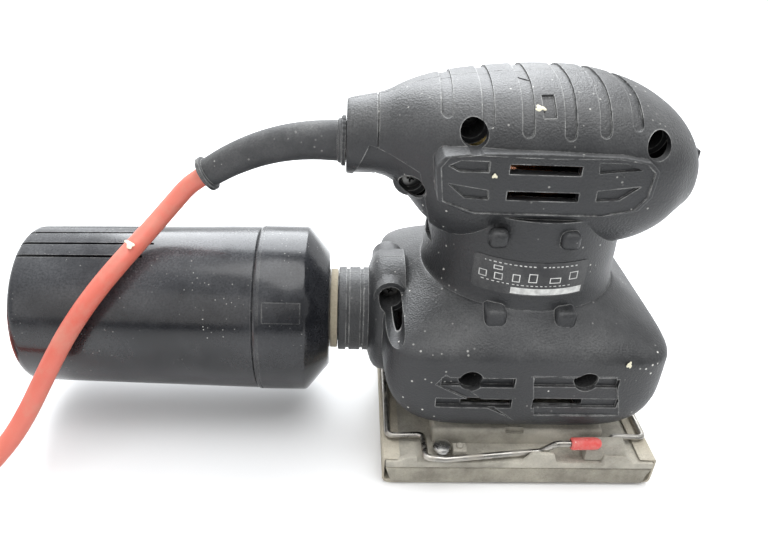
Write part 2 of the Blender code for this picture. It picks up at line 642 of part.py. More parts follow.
# ---------------------------------------------------------------- motor, turning part
rod("motor_shaft", SHAFT_RADIUS, "Z", (MOTOR_X, 0, 0), PIN_TOP + 0.0015 + GAP, 0.1315, 16, STEEL, ROTOR)
BORE = SHAFT_RADIUS + GAP
pipe("armature_core", ARMATURE_RADIUS, BORE, "Z", (MOTOR_X, 0, 0),
     CORE_BOTTOM, CORE_TOP, 28, LAMINATION, ROTOR)
WINDING_HEIGHT = 0.0052
for name, low in (("lower", CORE_BOTTOM - GAP - WINDING_HEIGHT), ("upper", CORE_TOP + GAP)):
    high = low + WINDING_HEIGHT
    profile = [(BORE + 0.0012, low), (BORE + 0.0012, high), (0.0115, high),
               (0.0152, (low + high) / 2), (0.0115, low)]
    turned(f"armature_winding_{name}", profile, "Z", (MOTOR_X, 0, 0), 18, COPPER, ROTOR)
pipe("commutator", COMMUTATOR_RADIUS, BORE, "Z", (MOTOR_X, 0, 0), COMMUTATOR_Z,
     COMMUTATOR_Z + COMMUTATOR_HEIGHT, 24, COPPER, ROTOR)

fan = pipe("fan", FAN_RADIUS, BORE, "Z", (MOTOR_X, 0, 0),
           FAN_Z + FAN_HEIGHT - 0.0014, FAN_Z + FAN_HEIGHT, 32, BLACK, ROTOR)
blades = [pipe("fan_hub", 0.0085, BORE, "Z", (MOTOR_X, 0, 0), FAN_Z, FAN_Z + FAN_HEIGHT - 0.0007, 24)]
for index in range(FAN_BLADES):
    angle = math.tau * index / FAN_BLADES
    blade = box(f"fan_blade_{index}", (0.0075, -0.0007, FAN_Z),
                (FAN_RADIUS - 0.0010, 0.0007, FAN_Z + FAN_HEIGHT - 0.0007))
    blade.matrix_world = Matrix.Translation((MOTOR_X, 0, 0)) @ Matrix.Rotation(angle, 4, "Z")
    blades.append(blade)
join(fan, *blades)

HUB_TOP = FAN_Z - GAP - 0.0010
hub = rod("eccentric_counterweight", 0.0085, "Z", (MOTOR_X, 0, 0),
          PIN_TOP - 0.0005, HUB_TOP, 28, STEEL, ROTOR)
WEIGHT_RADIUS = 0.0138
weight = []
for step in range(13):
    angle = math.pi * step / 12
    weight.append((MOTOR_X - WEIGHT_RADIUS * math.sin(angle), -WEIGHT_RADIUS * math.cos(angle)))
join(hub, prism("counterweight_disc", weight, "Z", PIN_TOP + 0.0030, PIN_TOP + 0.0110),
     rod("eccentric_pin", SHAFT_RADIUS, "Z", (PIN_X, 0, 0), PAD_BEARING_BOTTOM, PIN_TOP + 0.0005, 20))
cut(hub, rod("hub_bore", BORE, "Z", (MOTOR_X, 0, 0), PIN_TOP + 0.0015, HUB_TOP + 0.001, 16))

# ---------------------------------------------------------------- pad
EDGE = 0.0022  # the sanding face is this much shorter than the pad at each end
fold_top = LEDGE_Z + GAP + SHEET_THICKNESS
fold_in = HALF_PAD_X - 0.0065
right_side = [
    (HALF_PAD_X - EDGE, 0.0), (HALF_PAD_X, EDGE + 0.0003), (HALF_PAD_X, fold_top),
    (fold_in, fold_top), (fold_in, fold_top - SHEET_THICKNESS),
    (HALF_PAD_X - SHEET_THICKNESS, fold_top - SHEET_THICKNESS),
    (HALF_PAD_X - SHEET_THICKNESS, EDGE + 0.0007), (HALF_PAD_X - EDGE - 0.0004, SHEET_THICKNESS),
]
sheet_outline = right_side + [(-x, z) for x, z in reversed(right_side)]
prism("sanding_sheet", sheet_outline, "Y", -HALF_PAD_Y + 0.0010, HALF_PAD_Y - 0.0010, PAPER, PAD)

inside = HALF_PAD_X - SHEET_THICKNESS - GAP
foam_outline = [
    (-inside + EDGE, FOAM_BOTTOM), (inside - EDGE, FOAM_BOTTOM), (inside, FOAM_BOTTOM + EDGE),
    (inside, FOAM_TOP), (-inside, FOAM_TOP), (-inside, FOAM_BOTTOM + EDGE),
]
prism("foam_pad", foam_outline, "Y", -HALF_PAD_Y, HALF_PAD_Y, FOAM, PAD)

platen = box("platen", (-inside, -HALF_PAD_Y, PLATEN_BOTTOM), (inside, HALF_PAD_Y, LEDGE_Z), ALUMINIUM, PAD)
pedestal = box("pedestal", (-PEDESTAL_LENGTH / 2, -PEDESTAL_WIDTH / 2, LEDGE_Z - 0.0010),
               (PEDESTAL_LENGTH / 2, PEDESTAL_WIDTH / 2, PEDESTAL_TOP))
pad_boss = rod("pad_boss", PAD_BOSS_RADIUS, "Z", (PIN_X, 0, 0), LEDGE_Z,
               PAD_BEARING_BOTTOM + PAD_BEARING_HEIGHT + 0.0015, 32)
catch_y = HALF_PAD_Y + 0.0002
CATCH_THICKNESS = 0.0014
extras = [pedestal, pad_boss]
for side in (-1, 1):
    # The catch is a tab that stands up at the pad's edge and keeps the lever in.
    outline = [(0.0002, LEDGE_Z - 0.0010), (0.0096, LEDGE_Z - 0.0010), (0.0080, LEDGE_Z + 0.0042),
               (0.0030, LEDGE_Z + 0.0056)]
    outline = [(-side * x, z) for x, z in outline]
    near, far = sorted((side * catch_y, side * (catch_y - CATCH_THICKNESS)))
    extras.append(prism(f"catch_{side:+d}", outline, "Y", near, far))
join(platen, *extras)
platen_holes = [
    rod("pad_bearing_pocket", LOWER_BEARING_RADIUS + GAP, "Z", (PIN_X, 0, 0),
        PAD_BEARING_BOTTOM - GAP, 0.0400, 28),
    rod("pad_pin_pass", SHAFT_RADIUS + 0.0015, "Z", (PIN_X, 0, 0),
        PAD_BEARING_BOTTOM - 0.0020, 0.0300, 16),
]

pipe("pad_bearing", LOWER_BEARING_RADIUS, SHAFT_RADIUS + GAP, "Z", (PIN_X, 0, 0),
     PAD_BEARING_BOTTOM, PAD_BEARING_BOTTOM + PAD_BEARING_HEIGHT, 28, STEEL, PAD)

for index, (x, y) in enumerate(LEG_PLACES):
    low, high = PEDESTAL_TOP + GAP, LEG_TOP
    profile = [(0, low), (0, high), (LEG_RADIUS, high), (LEG_RADIUS, low + 0.0160),
               (LEG_RADIUS - 0.0016, low + 0.0125), (LEG_RADIUS - 0.0016, low + 0.0030),
               (LEG_RADIUS, low)]
    turned(f"rubber_leg_{index + 1}", profile, "Z", (x, y, 0), 16, SOFT_BLACK)

# ---------------------------------------------------------------- wire paper clamps
# One set holds the paper's rear end, with its lever on the right. The other is the same
# set turned half a turn about Z: it holds the front end, with its lever on the left.
BRACKET_Y = (-HALF_PAD_Y + 0.0008, -HALF_PAD_Y + 0.0082)
BRACKET_BASE = 0.0020
BRACKET_END_X = PIVOT_X - 0.0103
BRACKET_SCREW_X = PIVOT_X - 0.0069
BLOCK_END_X = PIVOT_X - 0.0125
BRACKET_SCREW_Y = -HALF_PAD_Y + CLAMP_INSET
STUB_MEET_Y = -HALF_PAD_Y + CLAMP_INSET
ELBOW_Y = -HALF_PAD_Y - 0.0009
LEVER_Y = -HALF_PAD_Y + 0.0030
GRIP_Y = -HALF_PAD_Y + 0.0015
BAR_X = HALF_PAD_X - 0.0020
BAR_Z = LEDGE_Z + 2 * GAP + SHEET_THICKNESS + WIRE_RADIUS
BAR_NEAR_Y = -HALF_PAD_Y + BAR_INSET
BAR_FAR_Y = HALF_PAD_Y - BAR_INSET
GRIP_RADIUS = 0.0023


def turned_half(points, turn):
    return [(turn * x, turn * y, z) for x, y, z in points]


for end, turn in (("rear", 1), ("front", -1)):
    lever_axis = pivot(f"{end}_lever_axis", (-turn * PIVOT_X, turn * BAR_NEAR_Y, PIVOT_Z))
    bar_axis = pivot(f"{end}_bar_axis", (-turn * PIVOT_X, 0, PIVOT_Z))
    bracket_outline = [
        (-PIVOT_X - 0.0034, LEDGE_Z + GAP), (-PIVOT_X - 0.0034, PIVOT_Z + 0.0010),
        (-PIVOT_X - 0.0016, PIVOT_Z + 0.0029), (-PIVOT_X + 0.0016, PIVOT_Z + 0.0029),
        (-PIVOT_X + 0.0030, PIVOT_Z + 0.0010), (-PIVOT_X + 0.0030, LEDGE_Z + BRACKET_BASE),
        (-BRACKET_END_X, LEDGE_Z + BRACKET_BASE), (-BRACKET_END_X, LEDGE_Z + GAP),
    ]
    near, far = sorted(turn * y for y in BRACKET_Y)
    outline = [(turn * x, z) for x, z in bracket_outline]
    bracket = prism(f"{end}_clamp_bracket", outline, "Y", near, far, STEEL, PAD)
    screw_place = (-turn * BRACKET_SCREW_X, turn * BRACKET_SCREW_Y, 0)
    cut(
        bracket,
        rod(f"{end}_pivot_bore", WIRE_RADIUS + GAP, "Y", (-turn * PIVOT_X, 0, PIVOT_Z),
            near - 0.002, far + 0.002, 14),
        rod(f"{end}_bracket_hole", SCREW_SHANK_RADIUS + GAP, "Z", screw_place,
            LEDGE_Z - 0.001, LEDGE_Z + 0.01, 14),
    )
    head = LEDGE_Z + BRACKET_BASE + GAP
    profile = [(0, LEDGE_Z - 0.0018), (0, head + 0.0021), (0.0022, head + 0.0021), (0.0033, head + 0.0012),
               (0.0036, head), (SCREW_SHANK_RADIUS, head), (SCREW_SHANK_RADIUS, LEDGE_Z - 0.0018)]
    turned(f"{end}_bracket_screw", profile, "Z", screw_place, 16, STEEL, PAD)
    platen_holes.append(rod(f"{end}_screw_pilot", SCREW_SHANK_RADIUS + GAP, "Z", screw_place,
                            LEDGE_Z - 0.0018 - GAP, LEDGE_Z + 0.001, 14))

    # The far end of the bar turns in a block of its own.
    low = (-PIVOT_X - 0.0034, BAR_FAR_Y + 0.0028, LEDGE_Z + GAP)
    high = (-BLOCK_END_X, BAR_FAR_Y + 0.0100, PIVOT_Z + 0.0028)
    corners = turned_half([low, high], turn)
    block_low = [min(pair) for pair in zip(*corners)]
    block_high = [max(pair) for pair in zip(*corners)]
    block = box(f"{end}_pivot_block", block_low, block_high, ALUMINIUM, PAD)
    cut(block, rod(f"{end}_block_bore", WIRE_RADIUS + GAP, "Y", (-turn * PIVOT_X, 0, PIVOT_Z), *sorted(
        (turn * BAR_FAR_Y, turn * (BAR_FAR_Y + 0.0086))), 14))

    lever = [
        (-PIVOT_X, STUB_MEET_Y - GAP, PIVOT_Z), (-PIVOT_X, ELBOW_Y, PIVOT_Z),
        (-PIVOT_X + 0.0075, ELBOW_Y, PIVOT_Z - 0.0008), (-0.0010, LEVER_Y, LEDGE_Z + 0.0020),
        (0.0075, LEVER_Y, LEDGE_Z + 0.0030), (0.0120, GRIP_Y, LEDGE_Z + 0.0085),
        (0.0285, GRIP_Y, LEDGE_Z + 0.0088),
    ]
    strand(f"{end}_clamp_lever", fillet(turned_half(lever, turn), 0.0030), WIRE_RADIUS, 2, STEEL, lever_axis)
    grip_line = Vector((0.0285 - 0.0175, 0, 0.0003)).normalized()
    grip_start = Vector((0.0175, GRIP_Y, LEDGE_Z + 0.0086))
    grip_ring = []
    for along, inset in ((0, 0.0003), (0.0006, 0), (0.0094, 0), (0.0100, 0.0003)):
        radius = GRIP_RADIUS - inset
        centre = grip_start + grip_line * along
        grip_ring.append([
            (turn * centre.x, turn * (centre.y + radius * math.cos(a)), centre.z + radius * math.sin(a))
            for a in [math.tau * step / 12 for step in range(12)]
        ])
    grip = loft(f"{end}_lever_grip", grip_ring, RED, lever_axis)
    bore_ring = []
    radius = WIRE_RADIUS + GAP
    for along in (-0.001, 0.0120):
        centre = grip_start + grip_line * along
        bore_ring.append([
            (turn * centre.x, turn * (centre.y + radius * math.cos(a)), centre.z + radius * math.sin(a))
            for a in [math.tau * step / 12 for step in range(12)]
        ])
    cut(grip, loft(f"{end}_grip_bore", bore_ring))

    bar = [
        (-PIVOT_X, STUB_MEET_Y + GAP, PIVOT_Z), (-PIVOT_X, BAR_NEAR_Y, PIVOT_Z),
        (-BAR_X, BAR_NEAR_Y, BAR_Z), (-BAR_X, BAR_FAR_Y, BAR_Z),
        (-PIVOT_X, BAR_FAR_Y, PIVOT_Z), (-PIVOT_X, BAR_FAR_Y + 0.0080, PIVOT_Z),
    ]
    strand(f"{end}_clamp_bar", fillet(turned_half(bar, turn), 0.0022), WIRE_RADIUS, 2, STEEL, bar_axis)
cut(platen, *platen_holes)

# ---------------------------------------------------------------- dust box
BOX_AXIS = (0, 0, PORT_Z)
SEAL_FACE_X = PORT_END_X - GAP
COVER = pivot("dust_box_slide", BOX_AXIS)
BIN = pivot("bin_slide", BOX_AXIS)
cover_inside = BOX_RADIUS - BOX_WALL
cover_profile = [
    (BOX_RADIUS, COVER_MOUTH_X), (BOX_RADIUS, COVER_SHOULDER_X), (0.0230, COVER_BACK_X),
    (SPIGOT_RADIUS, COVER_BACK_X), (SPIGOT_RADIUS, COVER_BACK_X + SPIGOT_LENGTH),
    (SPIGOT_RADIUS - 0.0020, COVER_BACK_X + SPIGOT_LENGTH), (SPIGOT_RADIUS - 0.0020, COVER_BACK_X - 0.0022),
    (0.0215, COVER_BACK_X - 0.0026), (cover_inside, COVER_SHOULDER_X - 0.0014),
    (cover_inside, COVER_MOUTH_X),
]
turned("dust_box_cover", cover_profile, "X", BOX_AXIS, 32, BLACK, COVER)
pipe("port_seal", SPIGOT_RADIUS + 0.0030, SPIGOT_RADIUS + GAP, "X", BOX_AXIS,
     COVER_BACK_X + GAP, SEAL_FACE_X, 24, FELT, COVER)

FLANGE_X = COVER_SHOULDER_X - 0.0014 - GAP - 0.0012
filter_profile = [
    (FILTER_RADIUS - 0.0024, FLANGE_X), (cover_inside - 2 * GAP, FLANGE_X),
    (cover_inside - 2 * GAP, FLANGE_X - 0.0020),
    (FILTER_RADIUS, FLANGE_X - 0.0020), (FILTER_RADIUS, FLANGE_X - FILTER_LENGTH),
    (0, FLANGE_X - FILTER_LENGTH), (0, FLANGE_X - FILTER_LENGTH + 0.0024),
    (FILTER_RADIUS - 0.0024, FLANGE_X - FILTER_LENGTH + 0.0024),
]
turned("dust_filter", filter_profile, "X", BOX_AXIS, 24, FELT, COVER)

RIM_LENGTH = 0.0070
bin_mouth = COVER_MOUTH_X - GAP
bin_profile = [
    (RIM_RADIUS, bin_mouth + RIM_LENGTH), (RIM_RADIUS, bin_mouth), (BOX_RADIUS - 0.0004, bin_mouth),
    (BOX_FAR_RADIUS, BOX_END_X + 0.0014), (BOX_FAR_RADIUS - 0.0014, BOX_END_X), (0, BOX_END_X),
    (0, BOX_END_X + BOX_WALL), (BOX_FAR_RADIUS - BOX_WALL, BOX_END_X + BOX_WALL),
    (RIM_RADIUS - BIN_RIM_THICKNESS, bin_mouth - 0.0040),
    (RIM_RADIUS - BIN_RIM_THICKNESS, bin_mouth + RIM_LENGTH),
]
turned("dust_bin", bin_profile, "X", BOX_AXIS, 32, BLACK, BIN)

# ---------------------------------------------------------------- cord
GUARD_LINE = [
    (-0.0705, GUARD_Z), (-0.0800, GUARD_Z - 0.0002), (-0.0900, GUARD_Z - 0.0016),
    (-0.1000, GUARD_Z - 0.0045), (-0.1100, GUARD_Z - 0.0090), (-0.1180, GUARD_Z - 0.0138),
]
NOSE_FACE_X = HANDLE[0][0]
shank = GUARD_RADIUS - 0.0008 - GAP
flange = GUARD_RADIUS + 0.0018
guard_stations = [
    (-0.0610, GUARD_Z, shank), (NOSE_FACE_X - GAP, GUARD_Z, shank),
    (NOSE_FACE_X - GAP - 0.0001, GUARD_Z, flange),
    (-0.0702, GUARD_Z, flange), (-0.0705, GUARD_Z, GUARD_RADIUS),
]
reach = len(GUARD_LINE) - 1
for index, (x, z) in enumerate(GUARD_LINE[1:], 1):
    guard_stations.append((x, z, GUARD_RADIUS + (GUARD_END_RADIUS - GUARD_RADIUS) * index / reach))
end_slope = Vector((GUARD_LINE[-1][0] - GUARD_LINE[-2][0], 0, GUARD_LINE[-1][1] - GUARD_LINE[-2][1]))
end_slope.normalize()
last = Vector((GUARD_LINE[-1][0], 0, GUARD_LINE[-1][1]))
for along, radius in ((0.0001, GUARD_END_RADIUS + 0.0014), (0.0018, GUARD_END_RADIUS + 0.0014)):
    spot = last + end_slope * along
    guard_stations.append((spot.x, spot.z, radius))
guard_rings = []
for index, (x, z, radius) in enumerate(guard_stations):
    before = guard_stations[max(index - 1, 0)]
    after = guard_stations[min(index + 1, len(guard_stations) - 1)]
    slope = math.atan2(before[1] - after[1], before[0] - after[0]) if index > 4 else 0.0
    guard_rings.append([
        (x - radius * math.sin(slope) * math.sin(a), radius * math.cos(a),
         z + radius * math.cos(slope) * math.sin(a))
        for a in [math.tau * step / 16 for step in range(16)]
    ])
loft("cord_guard", guard_rings, SOFT_BLACK)
GUARD_TIP = last + end_slope * 0.0018

# The visible stretch: over the dust box, down its right side and out along the table.
CORD_RADIUS = CORD_DIAMETER / 2
REST_Z = CORD_RADIUS + 0.0001
CORD_ROUTE = [
    tuple(GUARD_TIP + end_slope * 3 * GAP),  # the cord's flat end is a little tilted here
    (-0.1262, -0.0004, 0.0955),
    (-0.1325, -0.0020, 0.0888),
    (-0.1385, -0.0062, 0.0826),
    (-0.1440, -0.0130, 0.0776),
    (-0.1492, -0.0210, 0.0731),
    (-0.1545, -0.0278, 0.0678),
    (-0.1598, -0.0330, 0.0614),
    (-0.1650, -0.0372, 0.0540),
    (-0.1700, -0.0410, 0.0456),
    (-0.1748, -0.0444, 0.0368),
    (-0.1795, -0.0478, 0.0282),
    (-0.1846, -0.0514, 0.0202),
    (-0.1902, -0.0556, 0.0136),
    (-0.1962, -0.0610, 0.0086),
    (-0.2030, -0.0660, 0.0055),
    (-0.2110, -0.0700, 0.0040),
    (-0.2205, -0.0728, REST_Z),
    (-0.2310, -0.0757, REST_Z),
    (-0.2400, -0.0776, REST_Z),
]
power_cord = smooth_route(CORD_ROUTE, 2.2 * CORD_DIAMETER)
strand("power_cord", power_cord, CORD_RADIUS, 2, CORD_RED)

coil_half_width = CORD_DIAMETER * (COIL_TURNS / COIL_LAYERS + 1) / 2
coil_ring = [
    (COIL_RADIUS - coil_half_width, 0.0002), (COIL_RADIUS - coil_half_width, COIL_LAYERS * CORD_DIAMETER),
    (COIL_RADIUS + coil_half_width, COIL_LAYERS * CORD_DIAMETER), (COIL_RADIUS + coil_half_width, 0.0002),
]
turned("cord_coil", coil_ring, "Z", (*COIL_CENTRE, 0), 32, CORD_RED)

# The free end climbs on the coil, and its plug lies on the turns.
PLUG_START = Vector((*COIL_CENTRE, 0.0)) + Vector((-0.0500, 0.0020, 0.0142))
PLUG_HEADING = Vector((0.469, 0.883, 0.0)).normalized()
CORD_END_ROUTE = [
    (COIL_CENTRE[0] - 0.0536, COIL_CENTRE[1] - 0.0158, 0.0114),
    (COIL_CENTRE[0] - 0.0531, COIL_CENTRE[1] - 0.0069, 0.0128),
    tuple(PLUG_START - PLUG_HEADING * 0.0045),
    tuple(PLUG_START - PLUG_HEADING * 3 * GAP),
]
strand("cord_end", smooth_route(CORD_END_ROUTE, 0.5 * CORD_DIAMETER), CORD_RADIUS, 2, CORD_RED)

plug_side = Vector((-PLUG_HEADING.y, PLUG_HEADING.x, 0))
PLUG_STATIONS = ((0.0, 0.0048, 0.0048), (0.0100, 0.0056, 0.0052), (0.0170, 0.0110, 0.0062),
                 (0.0240, 0.0172, 0.0069), (0.0370, 0.0176, 0.0069))
plug_rings = []
for along, half_wide, half_high in PLUG_STATIONS:
    centre = PLUG_START + PLUG_HEADING * along
    section = oval(half_wide, half_high, 2.8, 20)
    plug_rings.append([tuple(centre + plug_side * a + Vector((0, 0, b))) for a, b in section])
plug = loft("mains_plug", plug_rings, SOFT_BLACK)
PIN_SPACING = 0.0190
PIN_LENGTH = 0.0190
PIN_RADIUS = 0.0020
pins = []
for side in (-0.5, 0.5):
    rings = []
    tip = 0.0370 + PIN_LENGTH
    for along, radius in ((0.0350, PIN_RADIUS), (tip - 0.001, PIN_RADIUS), (tip, PIN_RADIUS - 0.0008)):
        centre = PLUG_START + PLUG_HEADING * along + plug_side * side * PIN_SPACING
        rings.append([
            tuple(centre + plug_side * radius * math.cos(a) + Vector((0, 0, radius * math.sin(a))))
            for a in [math.tau * step / 12 for step in range(12)]
        ])
    pins.append(loft(f"plug_pin_{side:+.1f}", rings))
join(plug, *pins)
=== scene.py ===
import math

import bpy
from mathutils import Matrix, Vector


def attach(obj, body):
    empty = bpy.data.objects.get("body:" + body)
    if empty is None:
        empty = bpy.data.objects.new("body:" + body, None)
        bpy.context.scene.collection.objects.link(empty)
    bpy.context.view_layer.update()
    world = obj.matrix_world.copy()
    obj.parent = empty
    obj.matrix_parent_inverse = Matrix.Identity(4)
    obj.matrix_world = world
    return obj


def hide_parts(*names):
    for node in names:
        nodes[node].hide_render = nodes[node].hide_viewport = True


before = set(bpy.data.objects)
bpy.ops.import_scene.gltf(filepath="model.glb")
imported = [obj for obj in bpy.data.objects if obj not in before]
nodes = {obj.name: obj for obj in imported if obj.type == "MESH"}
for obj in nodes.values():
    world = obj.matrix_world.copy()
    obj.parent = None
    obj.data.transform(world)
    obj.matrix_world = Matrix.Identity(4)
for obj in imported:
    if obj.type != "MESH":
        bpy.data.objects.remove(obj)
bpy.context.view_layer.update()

bpy.ops.object.select_all(action="DESELECT")

# ---------------------------------------------------------------- camera, light and table
# The tool stands on a pale table in front of a bright window. The camera looks down on its
# right side from a little behind.
bpy.ops.object.camera_add()
camera = bpy.context.object
CAMERA_PLACE = (-0.0665, -0.2355, 0.2006)
CAMERA_HEADING, CAMERA_DOWN, CAMERA_ROLL = math.radians(-3.577), math.radians(31.295), math.radians(3.116)
camera.matrix_world = (
    Matrix.Translation(CAMERA_PLACE)
    @ Matrix.Rotation(CAMERA_HEADING, 4, "Z")
    @ Matrix.Rotation(math.pi / 2 - CAMERA_DOWN, 4, "X")
    @ Matrix.Rotation(CAMERA_ROLL, 4, "Z")
)
camera.data.sensor_width = 36.0
camera.data.lens = 31.875
camera.data.clip_start = 0.005
bpy.context.scene.camera = camera

world = bpy.data.worlds.new("bright room")
bpy.context.scene.world = world
world.use_nodes = True
bpy.context.scene.view_settings.view_transform = "Standard"


def softbox(name, place, target, size, power, colour=(1.0, 1.0, 1.0)):
    bpy.ops.object.light_add(type="AREA", location=place)
    light = bpy.context.object
    light.name = name
    light.rotation_euler = (Vector(target) - Vector(place)).to_track_quat("-Z", "Y").to_euler()
    light.data.size = size
    light.data.energy = power
    light.data.color = colour


softbox("window", (-0.10, 0.75, 0.75), (0, 0, 0.08), 0.9, 17.0, (0.94, 0.97, 1.0))
softbox("ceiling", (0.10, -0.10, 1.00), (0, 0, 0), 0.8, 6.0)
softbox("room", (-0.5, -0.8, 0.5), (0, 0, 0.05), 0.7, 1.5, (1.0, 0.97, 0.93))

bpy.ops.mesh.primitive_grid_add(x_subdivisions=4, y_subdivisions=4, size=8.0, location=(0, 0, -0.0001))
bpy.ops.object.transform_apply(location=True, rotation=True, scale=True)
table = bpy.context.object
table.name = "table"


def put(tree, kind, sockets=None, **settings):
    """A shader node with its settings, and its sockets set or linked."""
    made = tree.nodes.new("ShaderNode" + kind)
    for name, value in settings.items():
        setattr(made, name, value)
    for key, value in (sockets or {}).items():
        if isinstance(value, bpy.types.NodeSocket):
            tree.links.new(value, made.inputs[key])
        else:
            made.inputs[key].default_value = value
    return made


def finish(name, **uniform):
    """A new material: its tree and its Principled BSDF with the uniform values set."""
    made = bpy.data.materials.new(name)
    made.use_nodes = True
    shader = made.node_tree.nodes["Principled BSDF"]
    for socket, value in uniform.items():
        shader.inputs[socket.replace("_", " ")].default_value = value
    return made, made.node_tree, shader


def mixed(tree, mask, first, second):
    return put(tree, "Mix", {0: mask, 6: first, 7: second}, data_type="RGBA").outputs[2]


def noise(tree, where, scale, detail=3.0, roughness=0.55):
    return put(
        tree, "TexNoise", {"Vector": where, "Scale": scale, "Detail": detail, "Roughness": roughness}
    ).outputs[0]


def ramp(tree, value, low, high, out_low=0.0, out_high=1.0):
    return put(tree, "MapRange", {0: value, 1: low, 2: high, 3: out_low, 4: out_high}).outputs[0]


def maths(tree, operation, first, second=0.0):
    return put(
        tree, "Math", {0: first, 1: second}, operation=operation, use_clamp=operation == "MULTIPLY"
    ).outputs[0]


# The sky is bright on the window's side and overhead, and dim in the room behind the camera.
sky = world.node_tree
sky.nodes["Background"].inputs["Color"].default_value = (0.97, 0.985, 1.0, 1.0)
WINDOW_SIDE = (0.0, 0.85, 0.55)
sky_direction = put(sky, "TexCoord").outputs["Generated"]
towards = put(sky, "VectorMath", {0: sky_direction, 1: WINDOW_SIDE}, operation="DOT_PRODUCT")
sky.links.new(
    ramp(sky, towards.outputs["Value"], -0.75, 0.55, 0.30, 1.30), sky.nodes["Background"].inputs["Strength"],
)


table_top, tree, shader = finish("pale table top", Roughness=0.35)
where = put(tree, "TexCoord").outputs["Object"]
cloud = noise(tree, where, 6.0)
tree.links.new(
    mixed(tree, ramp(tree, cloud, 0.35, 0.7), (0.86, 0.865, 0.87, 1), (0.93, 0.93, 0.93, 1)),
    shader.inputs["Base Color"],
)
table.data.materials.append(table_top)

# ---------------------------------------------------------------- mains cord
# Coral-coloured rubber flex, 7 mm thick. It leaves the guard, falls over the dust box and
# lies on the table, where the rest is wound into a flat coil with the plug on top.
CORD_DIAMETER = 0.0070
CORD_EXIT = (-0.1203, 0.0, 0.0998)
ON_TABLE = 0.0036
CORD_ROUTE = [
    (-0.1262, -0.0004, 0.0955), (-0.1325, -0.0020, 0.0888), (-0.1385, -0.0062, 0.0826),
    (-0.1440, -0.0130, 0.0776), (-0.1492, -0.0210, 0.0731), (-0.1545, -0.0278, 0.0678),
    (-0.1598, -0.0330, 0.0614), (-0.1650, -0.0372, 0.0540), (-0.1700, -0.0410, 0.0456),
    (-0.1748, -0.0444, 0.0368), (-0.1795, -0.0478, 0.0282), (-0.1846, -0.0514, 0.0202),
    (-0.1902, -0.0556, 0.0136), (-0.1962, -0.0610, 0.0086), (-0.2030, -0.0660, 0.0055),
    (-0.2110, -0.0700, 0.0040), (-0.2205, -0.0728, ON_TABLE), (-0.2310, -0.0757, ON_TABLE),
    (-0.2420, -0.0780, ON_TABLE), (-0.2530, -0.0796, ON_TABLE), (-0.2640, -0.0811, ON_TABLE),
]
COIL_CENTRE = Vector((-0.2920, -0.0140, 0.0))
COIL_OUTER = 0.0701
COIL_INNER = 0.0303
COIL_START = math.radians(-82)
COIL_TURNS = 5.64
CLIMB_TURNS = 0.30
POINTS_PER_TURN = 20
PLUG_START = COIL_CENTRE + Vector((-0.0500, 0.0020, 0.0142))
PLUG_HEADING = Vector((0.469, 0.883, 0.0)).normalized()


def eased(t):
    """From 0 to 1 with a gentle start and end."""
    return t * t * (3 - 2 * t)


coil = []
turn_count = COIL_TURNS + CLIMB_TURNS
steps = round(turn_count * POINTS_PER_TURN)
for step in range(steps + 1):
    turn = turn_count * step / steps
    reach = COIL_OUTER + (COIL_INNER - COIL_OUTER) * min(turn / COIL_TURNS, 1.0)
    climb = max((turn - COIL_TURNS) / CLIMB_TURNS, 0.0)
    angle = COIL_START - math.tau * turn
    coil.append((
        COIL_CENTRE.x + reach * math.cos(angle), COIL_CENTRE.y + reach * math.sin(angle),
        ON_TABLE + CORD_DIAMETER * eased(climb),
    ))
# The free end climbs out of the middle and turns over the coil to the plug on top of it.
LEAD_BEND = 0.0315
LEAD_FROM, LEAD_SWEEP, LEAD_STEPS = math.radians(206), math.radians(144), 12
CORD_IN_PLUG = 0.0009
lead_out = []
for step in range(LEAD_STEPS + 1):
    heading = LEAD_FROM - LEAD_SWEEP * step / LEAD_STEPS
    lift = max(step / LEAD_STEPS - 0.5, 0.0) / 0.5
    lead_out.append((
        PLUG_START.x + LEAD_BEND * (PLUG_HEADING.y - math.sin(heading)),
        PLUG_START.y - LEAD_BEND * (PLUG_HEADING.x - math.cos(heading)),
        ON_TABLE + CORD_DIAMETER + (PLUG_START.z - ON_TABLE - CORD_DIAMETER) * eased(lift),
    ))
lead_out[-1] = PLUG_START - PLUG_HEADING * CORD_IN_PLUG


def smooth(a, b, c, d, t):
    """A point between b and c on a smooth curve through all four, at t from 0 to 1."""
    return 0.5 * (2 * b + (c - a) * t + (2 * a - 5 * b + 4 * c - d) * t**2 + (3 * b - 3 * c + d - a) * t**3)


def through(points, spacing):
    """Evenly spaced points on a smooth line through the given ones."""
    cuts = 24
    points = [Vector(point) for point in points]
    ends = [2 * points[0] - points[1], *points, 2 * points[-1] - points[-2]]
    fine = [points[0]]
    for a, b, c, d in zip(ends, ends[1:], ends[2:], ends[3:]):
        fine += [smooth(a, b, c, d, step / cuts) for step in range(1, cuts + 1)]
    line = [fine[0]]
    since = 0.0
    for here, there in zip(fine, fine[1:]):
        since += (there - here).length
        if since >= spacing:
            line.append(there)
            since = 0.0
    if since < spacing / 2:
        line.pop()
    line.append(fine[-1])
    return line


def strand(name, points, radius, roundness=5):
    """A round curve through points, with flat ends."""
    curve = bpy.data.curves.new(name, "CURVE")
    curve.dimensions = "3D"
    curve.bevel_depth = radius
    curve.bevel_resolution = roundness
    curve.use_fill_caps = True
    line = curve.splines.new("POLY")
    line.points.add(len(points) - 1)
    for spot, point in zip(line.points, points):
        spot.co = (*point, 1.0)
    line.use_smooth = True
    made = bpy.data.objects.new(name, curve)
    bpy.context.scene.collection.objects.link(made)
    return made


